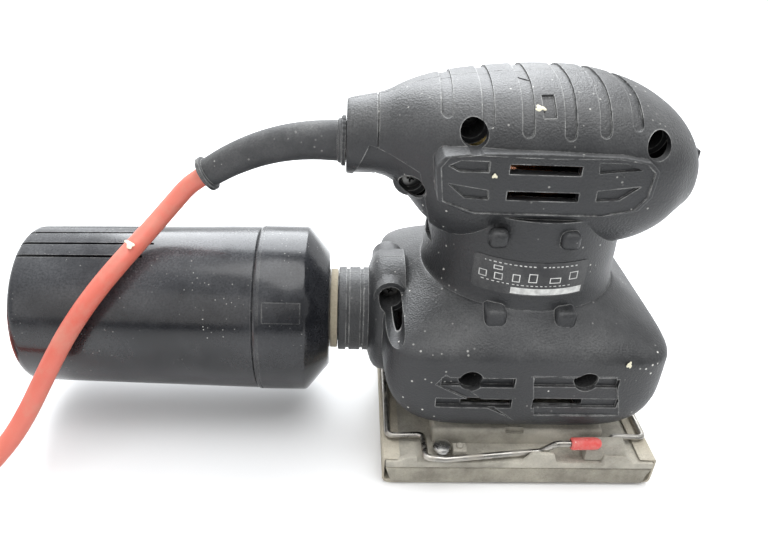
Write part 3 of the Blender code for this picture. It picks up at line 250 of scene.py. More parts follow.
CORD_STEP = 0.0030
cord_line = through([CORD_EXIT, *CORD_ROUTE, *coil, *lead_out], CORD_STEP)
cord = strand("mains_cord", cord_line, CORD_DIAMETER / 2)
cord_rubber, tree, shader = finish("coral rubber flex", Roughness=0.5)
where = put(tree, "TexCoord").outputs["Object"]
grime = ramp(tree, noise(tree, where, 70.0, 5.0, 0.7), 0.50, 0.74)
paler = ramp(tree, noise(tree, where, 26.0), 0.4, 0.7)
colour = mixed(tree, paler, (0.62, 0.125, 0.085, 1), (0.74, 0.20, 0.145, 1))
colour = mixed(tree, maths(tree, "MULTIPLY", grime, 0.45), colour, (0.55, 0.33, 0.25, 1))
tree.links.new(colour, shader.inputs["Base Color"])
tree.links.new(ramp(tree, grime, 0.0, 1.0, 0.42, 0.7), shader.inputs["Roughness"])
height = noise(tree, where, 900.0, 2.0)
tree.links.new(
    put(tree, "Bump", {"Height": height, "Strength": 0.12, "Distance": 0.0004}).outputs[0],
    shader.inputs["Normal"],
)
cord.data.materials.append(cord_rubber)
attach(cord, "housing")
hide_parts("power_cord", "cord_coil", "cord_end")

# ---------------------------------------------------------------- plug
# A flat moulded two-pin plug. The body is soft black rubber moulded round two brass pins
# with plated ends, and it has a grip waist where the fingers pull.


def loft(name, rings):
    """A disc is drawn out ring by ring, then each ring's corners are set to its section."""
    count = len(rings[0])
    bpy.ops.mesh.primitive_circle_add(vertices=count, radius=1.0, fill_type="NGON")
    made = bpy.context.object
    made.name = name
    bpy.ops.object.mode_set(mode="EDIT")
    for _ in rings[1:]:
        bpy.ops.mesh.extrude_region_move(TRANSFORM_OT_translate={"value": (0, 0, 1.0)})
    bpy.ops.object.mode_set(mode="OBJECT")
    for vertex in made.data.vertices:
        corner = round(math.atan2(vertex.co.y, vertex.co.x) / math.tau * count) % count
        vertex.co = rings[round(vertex.co.z)][corner]
    outward(made)
    return made


def outward(piece):
    """Doubles are merged and every face is turned to face out."""
    bpy.context.view_layer.objects.active = piece
    bpy.ops.object.mode_set(mode="EDIT")
    bpy.ops.mesh.select_all(action="SELECT")
    bpy.ops.mesh.remove_doubles(threshold=1e-6)
    bpy.ops.mesh.normals_make_consistent(inside=False)
    bpy.ops.object.mode_set(mode="OBJECT")


def oval(half_a, half_b, power, corners):
    """Points round a section: power 2 is an ellipse, a high power nearly a rectangle."""
    points = []
    for step in range(corners):
        c, s = math.cos(math.tau * step / corners), math.sin(math.tau * step / corners)
        reach = (abs(c / half_a) ** power + abs(s / half_b) ** power) ** (-1 / power)
        points.append((reach * c, reach * s))
    return points


BEVEL_ABOVE, CREASE_ABOVE = math.radians(30), math.radians(32)


def rounded(piece, width, segments=3):
    """The sharp edges are bevelled, and the piece is shaded smooth between them."""
    bpy.ops.object.select_all(action="DESELECT")
    piece.select_set(True)
    bpy.context.view_layer.objects.active = piece
    if width:
        bevel = piece.modifiers.new("bevel", "BEVEL")
        bevel.width = width
        bevel.segments = segments
        bevel.limit_method = "ANGLE"
        bevel.angle_limit = BEVEL_ABOVE
        bpy.ops.object.modifier_apply(modifier=bevel.name)
    bpy.ops.object.shade_smooth_by_angle(angle=CREASE_ABOVE)
    return piece


def dress(piece, material, body, *replaced, slot=None):
    """The finished piece gets its material and body, and stands for its CAD nodes."""
    piece.data.materials.clear()
    piece.data.materials.append(material)
    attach(piece, body)
    if replaced:
        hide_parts(*replaced)
    return piece


PLUG_STATIONS = (
    (0.0000, 0.0044, 0.0044), (0.0004, 0.0048, 0.0048), (0.0040, 0.0050, 0.0050), (0.0100, 0.0056, 0.0053),
    (0.0135, 0.0074, 0.0056), (0.0170, 0.0110, 0.0060), (0.0205, 0.0150, 0.0062), (0.0240, 0.0170, 0.0062),
    (0.0285, 0.0174, 0.0064), (0.0330, 0.0176, 0.0068), (0.0364, 0.0176, 0.0069), (0.0370, 0.0170, 0.0063),
)
plug_side = Vector((-PLUG_HEADING.y, PLUG_HEADING.x, 0))
rings = []
for along, half_wide, half_high in PLUG_STATIONS:
    centre = PLUG_START + PLUG_HEADING * along
    rings.append([centre + plug_side * a + Vector((0, 0, b)) for a, b in oval(half_wide, half_high, 2.8, 56)])
plug = rounded(loft("mains_plug_body", rings), 0)
PIN_STATIONS = ((0.0365, 0.0020), (0.0460, 0.0020), (0.0462, 0.0019), (0.0552, 0.0019), (0.0560, 0.0011))
PIN_OFFSET = 0.0095
pins = []
for side in (-PIN_OFFSET, PIN_OFFSET):
    rings = []
    for along, radius in PIN_STATIONS:
        centre = PLUG_START + PLUG_HEADING * along + plug_side * side
        rings.append([centre + plug_side * a + Vector((0, 0, b)) for a, b in oval(radius, radius, 2, 24)])
    pins.append(rounded(loft("plug_pin_left" if side < 0 else "plug_pin_right", rings), 0))

grain_group = bpy.data.node_groups.new("plastic grain", "ShaderNodeTree")
grain_group.interface.new_socket("Size", in_out="INPUT", socket_type="NodeSocketFloat")
grain_group.interface.new_socket("Height", in_out="OUTPUT", socket_type="NodeSocketFloat")
begin = grain_group.nodes.new("NodeGroupInput")
end = grain_group.nodes.new("NodeGroupOutput")
where = put(grain_group, "TexCoord").outputs["Object"]
pits = put(grain_group, "TexVoronoi", {"Vector": where, "Scale": begin.outputs["Size"]}).outputs["Distance"]
waves = put(
    grain_group, "TexNoise", {"Vector": where, "Scale": begin.outputs["Size"], "Detail": 4.0}
).outputs[0]
grain_group.links.new(maths(grain_group, "ADD", pits, waves), end.inputs["Height"])

dust_group = bpy.data.node_groups.new("settled dust", "ShaderNodeTree")
for name in ("Amount", "Patch Size", "Upward"):
    dust_group.interface.new_socket(name, in_out="INPUT", socket_type="NodeSocketFloat")
dust_group.interface.new_socket("Mask", in_out="OUTPUT", socket_type="NodeSocketFloat")
begin = dust_group.nodes.new("NodeGroupInput")
end = dust_group.nodes.new("NodeGroupOutput")
where = put(dust_group, "TexCoord").outputs["Object"]
facing = put(dust_group, "SeparateXYZ", {0: put(dust_group, "NewGeometry").outputs["Normal"]}).outputs[2]
above = ramp(dust_group, facing, -0.1, 1.0)
kept = ramp(dust_group, begin.outputs["Upward"], 0.0, 1.0, 1.0, 0.0)
lying = maths(dust_group, "MAXIMUM", above, kept)
patches = ramp(dust_group, noise(dust_group, where, begin.outputs["Patch Size"], 6.0, 0.62), 0.36, 0.72)
powder = ramp(dust_group, noise(dust_group, where, 1400.0, 2.0, 0.7), 0.30, 0.62, 0.35, 1.0)
lying = maths(dust_group, "MULTIPLY", lying, patches)
lying = maths(dust_group, "MULTIPLY", lying, powder)
dust_group.links.new(maths(dust_group, "MULTIPLY", lying, begin.outputs["Amount"]), end.inputs["Mask"])

speck_group = bpy.data.node_groups.new("dust specks", "ShaderNodeTree")
for name in ("Amount", "Size"):
    speck_group.interface.new_socket(name, in_out="INPUT", socket_type="NodeSocketFloat")
speck_group.interface.new_socket("Mask", in_out="OUTPUT", socket_type="NodeSocketFloat")
begin = speck_group.nodes.new("NodeGroupInput")
end = speck_group.nodes.new("NodeGroupOutput")
where = put(speck_group, "TexCoord").outputs["Object"]
cells = put(speck_group, "TexVoronoi", {"Vector": where, "Scale": begin.outputs["Size"], "Randomness": 1.0})
chosen = ramp(
    speck_group, put(speck_group, "SeparateColor", {0: cells.outputs["Color"]}).outputs[0], 0.70, 0.72,
)
dots = ramp(speck_group, cells.outputs["Distance"], 0.12, 0.20, 1.0, 0.0)
crowd = ramp(speck_group, noise(speck_group, where, 38.0, 3.0), 0.48, 0.66)
dots = maths(speck_group, "MULTIPLY", maths(speck_group, "MULTIPLY", dots, chosen), crowd)
speck_group.links.new(maths(speck_group, "MULTIPLY", dots, begin.outputs["Amount"]), end.inputs["Mask"])

wear_group = bpy.data.node_groups.new("edge wear", "ShaderNodeTree")
for name in ("Width", "Amount"):
    wear_group.interface.new_socket(name, in_out="INPUT", socket_type="NodeSocketFloat")
wear_group.interface.new_socket("Mask", in_out="OUTPUT", socket_type="NodeSocketFloat")
begin = wear_group.nodes.new("NodeGroupInput")
end = wear_group.nodes.new("NodeGroupOutput")
where = put(wear_group, "TexCoord").outputs["Object"]
flat = put(wear_group, "NewGeometry").outputs["Normal"]
soft = put(wear_group, "Bevel", {"Radius": begin.outputs["Width"]}, samples=6).outputs[0]
turned_by = put(wear_group, "VectorMath", {0: flat, 1: soft}, operation="DOT_PRODUCT").outputs["Value"]
worn = ramp(wear_group, turned_by, 0.80, 0.99, 1.0, 0.0)
broken = ramp(wear_group, noise(wear_group, where, 160.0, 4.0, 0.7), 0.36, 0.62)
worn = maths(wear_group, "MULTIPLY", worn, broken)
wear_group.links.new(maths(wear_group, "MULTIPLY", worn, begin.outputs["Amount"]), end.inputs["Mask"])


def grouped(tree, group, **values):
    """One use of an effect's node group, with its own values."""
    made = tree.nodes.new("ShaderNodeGroup")
    made.node_tree = group
    for name, value in values.items():
        made.inputs[name.replace("_", " ")].default_value = value
    return made.outputs[0]


def plastic(name, dark, light, dust_colour, dust=0.5, patch=28.0, upward=0.7, wear=0.4, specks=0.7,
            grain=0.10, smooth_by=(0.45, 0.62), speck_size=420.0):
    """Moulded plastic or rubber with its own dust, specks, worn edges and grain."""
    made, tree, shader = finish(name)
    where = put(tree, "TexCoord").outputs["Object"]
    shade = ramp(tree, noise(tree, where, 32.0, 4.0), 0.35, 0.68)
    colour = mixed(tree, shade, (*dark, 1), (*light, 1))
    powder = grouped(tree, dust_group, Amount=dust, Patch_Size=patch, Upward=upward)
    colour = mixed(tree, powder, colour, (*dust_colour, 1))
    if wear:
        edge = grouped(tree, wear_group, Width=0.0007, Amount=wear)
        colour = mixed(tree, edge, colour, (0.62, 0.62, 0.60, 1))
    dots = grouped(tree, speck_group, Amount=specks, Size=speck_size)
    colour = mixed(tree, dots, colour, (0.80, 0.79, 0.74, 1))
    tree.links.new(colour, shader.inputs["Base Color"])
    rough = ramp(tree, maths(tree, "ADD", powder, maths(tree, "MULTIPLY", shade, 0.3)), 0.0, 0.9, *smooth_by)
    tree.links.new(rough, shader.inputs["Roughness"])
    height = grouped(tree, grain_group, Size=1300.0)
    tree.links.new(
        put(tree, "Bump", {"Height": height, "Strength": grain, "Distance": 0.0004}).outputs[0],
        shader.inputs["Normal"],
    )
    return made


def metal(name, dark, light, smooth_by, dirt=0.35, dirt_colour=(0.42, 0.38, 0.31), metallic=1.0,
          scratch=260.0):
    """Bare or plated metal: streaked, with dull dirty patches in place of shine."""
    made, tree, shader = finish(name)
    where = put(tree, "TexCoord").outputs["Object"]
    streaked = put(tree, "Mapping", {"Vector": where, "Scale": (0.25, 1.0, 1.0)}).outputs[0]
    shade = ramp(tree, noise(tree, streaked, scratch, 4.0), 0.35, 0.68)
    soil = ramp(tree, noise(tree, where, 120.0, 5.0, 0.65), 0.50, 0.66, 0.0, dirt)
    colour = mixed(tree, soil, mixed(tree, shade, (*dark, 1), (*light, 1)), (*dirt_colour, 1))
    tree.links.new(colour, shader.inputs["Base Color"])
    tree.links.new(
        ramp(tree, maths(tree, "ADD", soil, maths(tree, "MULTIPLY", shade, 0.3)), 0.0, 1.0, *smooth_by),
        shader.inputs["Roughness"],
    )
    tree.links.new(ramp(tree, soil, 0.0, 0.5, metallic, metallic * 0.3), shader.inputs["Metallic"])
    tree.links.new(
        put(tree, "Bump", {"Height": shade, "Strength": 0.15, "Distance": 0.0002}).outputs[0],
        shader.inputs["Normal"],
    )
    return made


rubber = plastic(
    "soft black rubber", (0.024, 0.025, 0.027), (0.040, 0.041, 0.044), (0.42, 0.42, 0.41), dust=0.35,
    patch=60.0, upward=0.6, wear=0.55, specks=0.6, grain=0.2, smooth_by=(0.6, 0.85),
)
plated = metal("zinc-plated steel", (0.42, 0.42, 0.41), (0.72, 0.71, 0.68), (0.22, 0.65))
dress(plug, rubber, "housing", "mains_plug", slot="soft_black")
for pin in pins:
    dress(pin, plated, "housing", slot="steel")

# ---------------------------------------------------------------- cord guard
# A tapered sleeve of soft black rubber, moulded on the flex. A ribbed collar holds it in
# the nose of the handle, and a small bead ends it. The flex's weight bends it down.
GUARD_STATIONS = [
    (-0.0612, 0.1150, 0.0060), (-0.0680, 0.1150, 0.0060), (-0.0683, 0.1150, 0.0090),
    (-0.0696, 0.1150, 0.0090), (-0.0700, 0.1150, 0.0081), (-0.0708, 0.1150, 0.0079),
    (-0.0712, 0.1150, 0.0073),
]
GUARD_BEAD = (
    (0.0001, 0.0062), (0.0003, 0.0066), (0.0007, 0.0066), (0.0009, 0.0061), (0.0012, 0.0066),
    (0.0017, 0.0066), (0.0019, 0.0062),
)
SLEEVE_RADIUS, SLEEVE_TAPER = 0.0073, 0.0020
GUARD_CORNERS = 72
TOOTH = 0.00028
GUARD_LINE = [
    (-0.0712, 0, 0.1150), (-0.0800, 0, 0.1148), (-0.0900, 0, 0.1134), (-0.1000, 0, 0.1105),
    (-0.1100, 0, 0.1060), (-0.1180, 0, 0.1012),
]
collar_rings = len(GUARD_STATIONS)
line = through(GUARD_LINE, 0.0020)
for index, point in enumerate(line[1:], 1):
    GUARD_STATIONS.append((point.x, point.z, SLEEVE_RADIUS - SLEEVE_TAPER * index / (len(line) - 1)))
tip = (line[-1] - line[-2]).normalized()
bead_from = len(GUARD_STATIONS)
for along, radius in GUARD_BEAD:
    GUARD_STATIONS.append((line[-1].x + tip.x * along, line[-1].z + tip.z * along, radius))
rings = []
for index, (x, z, radius) in enumerate(GUARD_STATIONS):
    if index < collar_rings:
        slope = 0.0
    elif index < bead_from:
        behind, ahead = GUARD_STATIONS[index - 1], GUARD_STATIONS[min(index + 1, bead_from - 1)]
        slope = math.atan2(behind[1] - ahead[1], behind[0] - ahead[0])
    else:
        slope = math.atan2(-tip.z, -tip.x)
    ring = []
    for step in range(GUARD_CORNERS):
        angle = math.tau * step / GUARD_CORNERS
        toothed = index in (2, 3) and step % 3 == 0
        reach = radius - (TOOTH if toothed else 0.0)
        ring.append((x - reach * math.sin(slope) * math.sin(angle), reach * math.cos(angle),
                     z + reach * math.cos(slope) * math.sin(angle)))
    rings.append(ring)
guard = rounded(loft("cord_guard_sleeve", rings), 0)
dress(guard, rubber, "housing", "cord_guard", slot="soft_black")

# ---------------------------------------------------------------- clamshell housing
# Two halves of charcoal glass-filled plastic, injection moulded and screwed together along
# the tool's middle. They form the grip, the motor's neck, the fan's skirt and the dust port.


def carve(piece, tools, operation="DIFFERENCE", solver="MANIFOLD"):
    """The tools are cut from, or joined to, the piece, and then removed."""
    for tool in tools:
        step = piece.modifiers.new("carve", "BOOLEAN")
        step.object = tool
        step.operation = operation
        step.solver = solver
        bpy.context.view_layer.objects.active = piece
        bpy.ops.object.modifier_apply(modifier=step.name)
        bpy.data.objects.remove(tool)
    return piece


def plate(name, outline, axis, low, high, soft=0.0):
    """A flat outline is filled, and extruded along an axis."""
    place = {
        "X": lambda a, b, along: (along, a, b),
        "Y": lambda a, b, along: (a, along, b),
        "Z": lambda a, b, along: (a, b, along),
    }[axis]
    made = loft(name, [[place(a, b, low) for a, b in outline], [place(a, b, high) for a, b in outline]])
    return rounded(made, soft) if soft else made


def block(name, low, high, soft=0.0, segments=3):
    """A cube is added at its size and place, and its edges are rounded."""
    low, high = Vector(low), Vector(high)
    bpy.ops.mesh.primitive_cube_add(size=1.0, location=(low + high) / 2, scale=high - low)
    bpy.ops.object.transform_apply(location=True, rotation=True, scale=True)
    made = bpy.context.object
    made.name = name
    return rounded(made, soft, segments) if soft else made


def round_bar(name, radius, axis, centre, low, high, corners=48, soft=0.0):
    """A cylinder along an axis, from low to high along it."""
    turn = {"X": (0, math.pi / 2, 0), "Y": (math.pi / 2, 0, 0), "Z": (0, 0, 0)}[axis]
    place = Vector(centre)
    place["XYZ".index(axis)] = (low + high) / 2
    bpy.ops.mesh.primitive_cylinder_add(
        vertices=corners, radius=radius, depth=high - low, location=place, rotation=turn,
    )
    bpy.ops.object.transform_apply(location=True, rotation=True, scale=True)
    made = bpy.context.object
    made.name = name
    return rounded(made, soft) if soft else made


def spun(name, profile, axis, centre, steps=96, sweep=math.tau, start=0.0):
    """A closed profile of (radius, along) points is spun about an axis through the centre."""
    along, side = {
        "X": ((1, 0, 0), (0, 1, 0)), "Y": ((0, 1, 0), (0, 0, 1)), "Z": ((0, 0, 1), (1, 0, 0))
    }[axis]
    along, side, centre = Vector(along), Vector(side), Vector(centre)
    centre = centre - along * centre.dot(along)
    side = Matrix.Rotation(start, 3, along) @ side
    bpy.ops.mesh.primitive_circle_add(vertices=len(profile), radius=1.0)
    made = bpy.context.object
    made.name = name
    for vertex, (radius, reach) in zip(made.data.vertices, profile):
        vertex.co = centre + side * radius + along * reach
    bpy.ops.object.mode_set(mode="EDIT")
    bpy.ops.mesh.select_all(action="SELECT")
    if sweep < math.tau:
        bpy.ops.mesh.edge_face_add()
    bpy.ops.mesh.spin(steps=steps, angle=sweep, center=centre, axis=along)
    bpy.ops.object.mode_set(mode="OBJECT")
    outward(made)
    return made


# The grip, station by station from the cord's end: x, underside, top, half width, squareness.
HANDLE = [
    (-0.0680, 0.1045, 0.1290, 0.0125, 2.0), (-0.0665, 0.1035, 0.1305, 0.0138, 2.0),
    (-0.0550, 0.1028, 0.1330, 0.0155, 2.1), (-0.0470, 0.0975, 0.1364, 0.0205, 2.3),
    (-0.0380, 0.0885, 0.1388, 0.0272, 2.5), (-0.0260, 0.0840, 0.1408, 0.0320, 2.6),
    (-0.0100, 0.0830, 0.1425, 0.0345, 2.6), (0.0040, 0.0830, 0.1432, 0.0350, 2.6),
    (0.0180, 0.0834, 0.1426, 0.0350, 2.6), (0.0315, 0.0856, 0.1396, 0.0338, 2.6),
    (0.0410, 0.0900, 0.1358, 0.0308, 2.6), (0.0480, 0.0956, 0.1308, 0.0262, 2.5),
    (0.0528, 0.0990, 0.1250, 0.0215, 2.4), (0.0556, 0.1020, 0.1195, 0.0150, 2.3),
    (0.0570, 0.1060, 0.1130, 0.0070, 2.1),
]
# The skirt and the neck: height, half length, half width, squareness.
SKIRT = [
    (0.0215, 0.0400, 0.0446, 5.0), (0.0226, 0.0425, 0.0468, 5.6), (0.0250, 0.0462, 0.0490, 6.4),
    (0.0290, 0.0496, 0.0501, 7.0), (0.0350, 0.0519, 0.0503, 7.5), (0.0420, 0.0527, 0.0503, 7.5),
    (0.0500, 0.0527, 0.0503, 7.5), (0.0535, 0.0526, 0.0502, 7.4), (0.0556, 0.0519, 0.0495, 6.8),
    (0.0580, 0.0498, 0.0476, 5.6), (0.0612, 0.0455, 0.0441, 4.0), (0.0645, 0.0412, 0.0406, 2.8),
    (0.0675, 0.0382, 0.0381, 2.2), (0.0700, 0.0372, 0.0372, 2.0), (0.0860, 0.0367, 0.0367, 2.0),
    (0.1020, 0.0362, 0.0362, 2.0),
]
WALL = 0.0026
PORT_AXIS = (0.0, 0.0, 0.0425)
PORT_SKIN, PORT_BORE = 0.0172, 0.0140


def between(stations, at):
    """The station at a fractional place in the list, on a smooth curve through them."""
    index = min(int(at), len(stations) - 2)
    t = at - index
    a, b = stations[max(index - 1, 0)], stations[index]
    c, d = stations[index + 1], stations[min(index + 2, len(stations) - 1)]
    return [smooth(*four, t) for four in zip(a, b, c, d)]


def grip(name, inset, per_station, corners, first=0, last=None):
    rings = []
    last = len(HANDLE) - 1 if last is None else last
    for step in range(first * per_station, last * per_station + 1):
        x, low, high, half, power = between(HANDLE, step / per_station)
        middle = (low + high) / 2
        rings.append(
            [(x, y, middle + z)
            for y, z in oval(half - inset, (high - low) / 2 - inset, power, corners)],
        )
    return loft(name, rings)


def skirt(name, inset, per_station, corners, levels):
    rings = []
    for step in range((len(levels) - 1) * per_station + 1):
        z, half_x, half_y, power = between(levels, step / per_station)
        rings.append([(x, y, z) for x, y in oval(half_x - inset, half_y - inset, power, corners)])
    return loft(name, rings)


shell = grip("housing_right_half", 0.0, 6, 128)
VENT_OUTLINE = [
    (-0.0395, 0.1205), (-0.0370, 0.1240), (-0.0280, 0.1252), (-0.0030, 0.1258), (0.0200, 0.1254),
    (0.0290, 0.1240), (0.0325, 0.1208), (0.0320, 0.1120), (0.0285, 0.1070), (0.0180, 0.1042),
    (-0.0270, 0.1042), (-0.0380, 0.1085),
]
parts_outside = [
    skirt("skirt_skin", 0.0, 4, 144, SKIRT),
    round_bar("port_skin", PORT_SKIN, "X", PORT_AXIS, -0.0700, -0.0440, 96, 0.0006),
    spun("port_root", [
        (0.0, -0.0580), (PORT_SKIN, -0.0580), (0.0181, -0.0577), (0.0214, -0.0566), (0.0234, -0.0553),
        (0.0246, -0.0535), (0.0250, -0.0510), (0.0250, -0.0440), (0.0, -0.0440),
    ], "X", PORT_AXIS),
]
for side in (-1, 1):
    parts_outside.append(
        plate("vent_panel", VENT_OUTLINE, "Y", *sorted((side * 0.0250, side * 0.0362)), soft=0.0006),
    )
    for x in (-0.0165, 0.0080):
        near, far = sorted((side * 0.0330, side * 0.0386))
        parts_outside.append(
            block("upper_lug", (x - 0.0034, near, 0.0925), (x + 0.0034, far, 0.0990), 0.0022, 4),
        )
    for x in (-0.0140, 0.0110):
        near, far = sorted((side * 0.0300, side * 0.0412))
        parts_outside.append(
            block("lower_lug", (x - 0.0039, near, 0.0560), (x + 0.0039, far, 0.0693), 0.0020, 4),
        )
carve(shell, parts_outside, "UNION")

# The grip's moulded grooves follow its surface: slots stop at an inner copy of the grip.
GROOVES = (
    (-0.0345, 0.1318), (-0.0216, 0.1306), (-0.0090, 0.1290), (0.0044, 0.1288), (0.0157, 0.1298),
    (0.0266, 0.1316),
)
GROOVE_HALF, GROOVE_LEAN = 0.0019, 0.05
slots = []
for x, end in GROOVES:
    slot = block("groove", (x - GROOVE_HALF, -0.0400, end), (x + GROOVE_HALF, 0.0400, 0.1500))
    for vertex in slot.data.vertices:
        vertex.co.x += GROOVE_LEAN * vertex.co.y
    bpy.ops.object.mode_set(mode="EDIT")
    bpy.ops.mesh.select_all(action="DESELECT")
    bpy.ops.object.mode_set(mode="OBJECT")
    for edge in slot.data.edges:
        ends = [slot.data.vertices[i].co for i in edge.vertices]
        edge.select = abs(ends[0].y - ends[1].y) > 0.05 and max(end.z for end in ends) < 0.14
    bpy.ops.object.mode_set(mode="EDIT")
    bpy.ops.mesh.bevel(offset=GROOVE_HALF - 0.00005, segments=6)
    bpy.ops.object.mode_set(mode="OBJECT")
    slots.append(slot)
slots.append(block("badge_seat", (-0.0057, -0.0280, 0.1290), (-0.0016, -0.0200, 0.1500)))
slots.append(block("nose_line", (-0.0574, -0.0300, 0.1000), (-0.0569, 0.0300, 0.1500)))
carve(slots[0], slots[1:], "UNION")
carve(slots[0], [grip("groove_floor", 0.0008, 6, 96)])
carve(shell, [slots[0]])

# A step runs under the arm from the nose to the vent panel.
ARM_STEP = [
    (-0.0760, 0.1195), (-0.0600, 0.1190), (-0.0430, 0.1130), (-0.0405, 0.1080), (-0.0350, 0.0800),
    (-0.0760, 0.0800),
]
for side in (-1, 1):
    step = plate("arm_step", ARM_STEP, "Y", *sorted((side * 0.0010, side * 0.0400)))
    carve(step, [grip("arm_floor", 0.0011, 6, 96)])
    carve(shell, [step])

# Hollow inside: the grip, the neck above the fan's ceiling, and the fan chamber under it.
CHAMBER = [(0.0205, *SKIRT[0][1:]), *SKIRT[1:8], (0.0566, 0.0500, 0.0476, 6.0), (0.0599, 0.0470, 0.0448, 4.4)]
hollows = [
    grip("hollow_grip", WALL, 2, 48, 1, 13),
    round_bar("neck_bore", 0.0342, "Z", (0, 0, 0), 0.0680, 0.1010, 64),
    skirt("chamber", WALL, 2, 64, CHAMBER),
    round_bar("port_bore", PORT_BORE, "X", PORT_AXIS, -0.0710, -0.0440, 64),
]
carve(shell, hollows)
HOUSING_SCREWS = {
    "handle_screw_rear": (-0.0272, 0.1290, 0.0200), "handle_screw_front": (0.0326, 0.1275, 0.0210),
    "handle_screw_arm": (-0.0450, 0.1060, 0.0120), "skirt_screw_rear": (-0.0220, 0.0458, 0.0473),
    "skirt_screw_front": (0.0200, 0.0458, 0.0473), "port_screw": (-0.0500, 0.0590, 0.0165),
}
LEG_PLACES = [(x, y) for x in (-0.0310, 0.0310) for y in (-0.0290, 0.0290)]
MOTOR_X = -0.0008
seats = [
    round_bar("lower_seat", 0.0150, "Z", (MOTOR_X, 0, 0), 0.0620, 0.0713),
    round_bar("upper_seat", 0.0120, "Z", (MOTOR_X, 0, 0), 0.1240, 0.1417),
]
seats += [
    round_bar("boss", 0.0064, "Y", (x, 0, z), -reach, reach, 32) for x, z, reach in HOUSING_SCREWS.values()
]
seats += [round_bar("leg_socket", 0.0084, "Z", (x, y, 0), 0.0340, 0.0605, 32) for x, y in LEG_PLACES]
carve(shell, seats, "UNION")

openings = [
    round_bar("lower_pocket", 0.0113, "Z", (MOTOR_X, 0, 0), 0.0634, 0.0743),
    round_bar("shaft_pass", 0.0060, "Z", (MOTOR_X, 0, 0), 0.0560, 0.0690, 32),
    round_bar("upper_pocket", 0.0083, "Z", (MOTOR_X, 0, 0), 0.1225, 0.1303),
    round_bar("shaft_end_pass", 0.0043, "Z", (MOTOR_X, 0, 0), 0.1230, 0.1325, 32),
    round_bar("guard_hole", 0.0064, "X", (0, 0, 0.1150), -0.0740, -0.0620),
    block("switch_hole", (0.0480, -0.0088, 0.1000), (0.0640, 0.0088, 0.1190)),
]
for x, z, _ in HOUSING_SCREWS.values():
    profile = [
        (0, -0.0700), (0, 0.0163), (0.0018, 0.0163), (0.0018, -0.0087), (0.0044, -0.0087), (0.0044, -0.0700),
    ]
    openings.append(spun("screw_hole", profile, "Y", (x, 0, z), 40))
for x, y in LEG_PLACES:
    openings.append(round_bar("leg_bore", 0.0061, "Z", (x, y, 0), 0.0300, 0.0423, 32))
for x in (-0.0668, -0.0612):
    groove = [(0.0164, x), (0.0180, x), (0.0180, x + 0.0012), (0.0164, x + 0.0012)]
    openings.append(spun("port_groove", groove, "X", PORT_AXIS, 72))

# Vent panel: a rim round a lower field, two open slots and four pointed recesses.
VENT_SLOTS = ((-0.0160, 0.0072, 0.1186, 0.1219), (-0.0158, 0.0078, 0.1096, 0.1127))
VENT_RECESSES = (
    [(-0.0355, 0.1208), (-0.0318, 0.1226), (-0.0226, 0.1226), (-0.0226, 0.1190), (-0.0320, 0.1190)],
    [(-0.0352, 0.1148), (-0.0220, 0.1128), (-0.0216, 0.1096), (-0.0296, 0.1100)],
    [(0.0124, 0.1232), (0.0212, 0.1232), (0.0268, 0.1212), (0.0130, 0.1196)],
    [(0.0136, 0.1136), (0.0276, 0.1156), (0.0214, 0.1106), (0.0137, 0.1100)],
)
# Louvers: a shallow field parted by a pointed rib, a deep upper channel and a lower one with
# an open slot. A channel and a slot are given as their left, right, underside and top.
LOUVER_FIELDS = (
    [
        (-0.0345, 0.0302), (-0.0082, 0.0302), (-0.0036, 0.0270), (-0.0060, 0.0486), (-0.0312, 0.0486),
        (-0.0345, 0.0440),
    ],
    [
        (-0.0028, 0.0270), (0.0030, 0.0302), (0.0350, 0.0302), (0.0345, 0.0440), (0.0300, 0.0486),
        (0.0000, 0.0486),
    ],
)
UPPER_CHANNELS = ((-0.0325, -0.0062, 0.0432, 0.0474), (0.0008, 0.0315, 0.0432, 0.0474))
LOWER_CHANNELS = ((-0.0338, -0.0062, 0.0336, 0.0378), (0.0014, 0.0332, 0.0336, 0.0378))
LOUVER_SLOTS = ((-0.0246, -0.0062, 0.0342, 0.0374), (0.0014, 0.0202, 0.0342, 0.0374))


def slab(name, outline, side, near, far):
    """A flat tool on one side of the housing, from near to far off its middle."""
    return plate(name, outline, "Y", *sorted((side * near, side * far)))


def oblong(name, edges, side, near, far):
    left, right, low, high = edges
    return slab(name, [(left, low), (right, low), (right, high), (left, high)], side, near, far)


for side in (-1, 1):
    field = []
    for x, z in VENT_OUTLINE:
        inward = (Vector((-0.0035, 0.1150)) - Vector((x, z))).normalized() * 0.0016
        field.append((x + inward.x, z + inward.y))
    openings.append(slab("vent_field", field, side, 0.0357, 0.0390))
    openings += [oblong("vent_slot", edges, side, 0.0240, 0.0400) for edges in VENT_SLOTS]
    openings += [slab("vent_recess", outline, side, 0.0347, 0.0400) for outline in VENT_RECESSES]
    openings += [slab("louver_field", outline, side, 0.0495, 0.0530) for outline in LOUVER_FIELDS]
    openings += [oblong("louver_channel", edges, side, 0.0482, 0.0530) for edges in UPPER_CHANNELS]
    openings += [oblong("louver_channel", edges, side, 0.0483, 0.0530) for edges in LOWER_CHANNELS]
    openings += [oblong("louver_slot", edges, side, 0.0440, 0.0530) for edges in LOUVER_SLOTS]
carve(shell, openings)

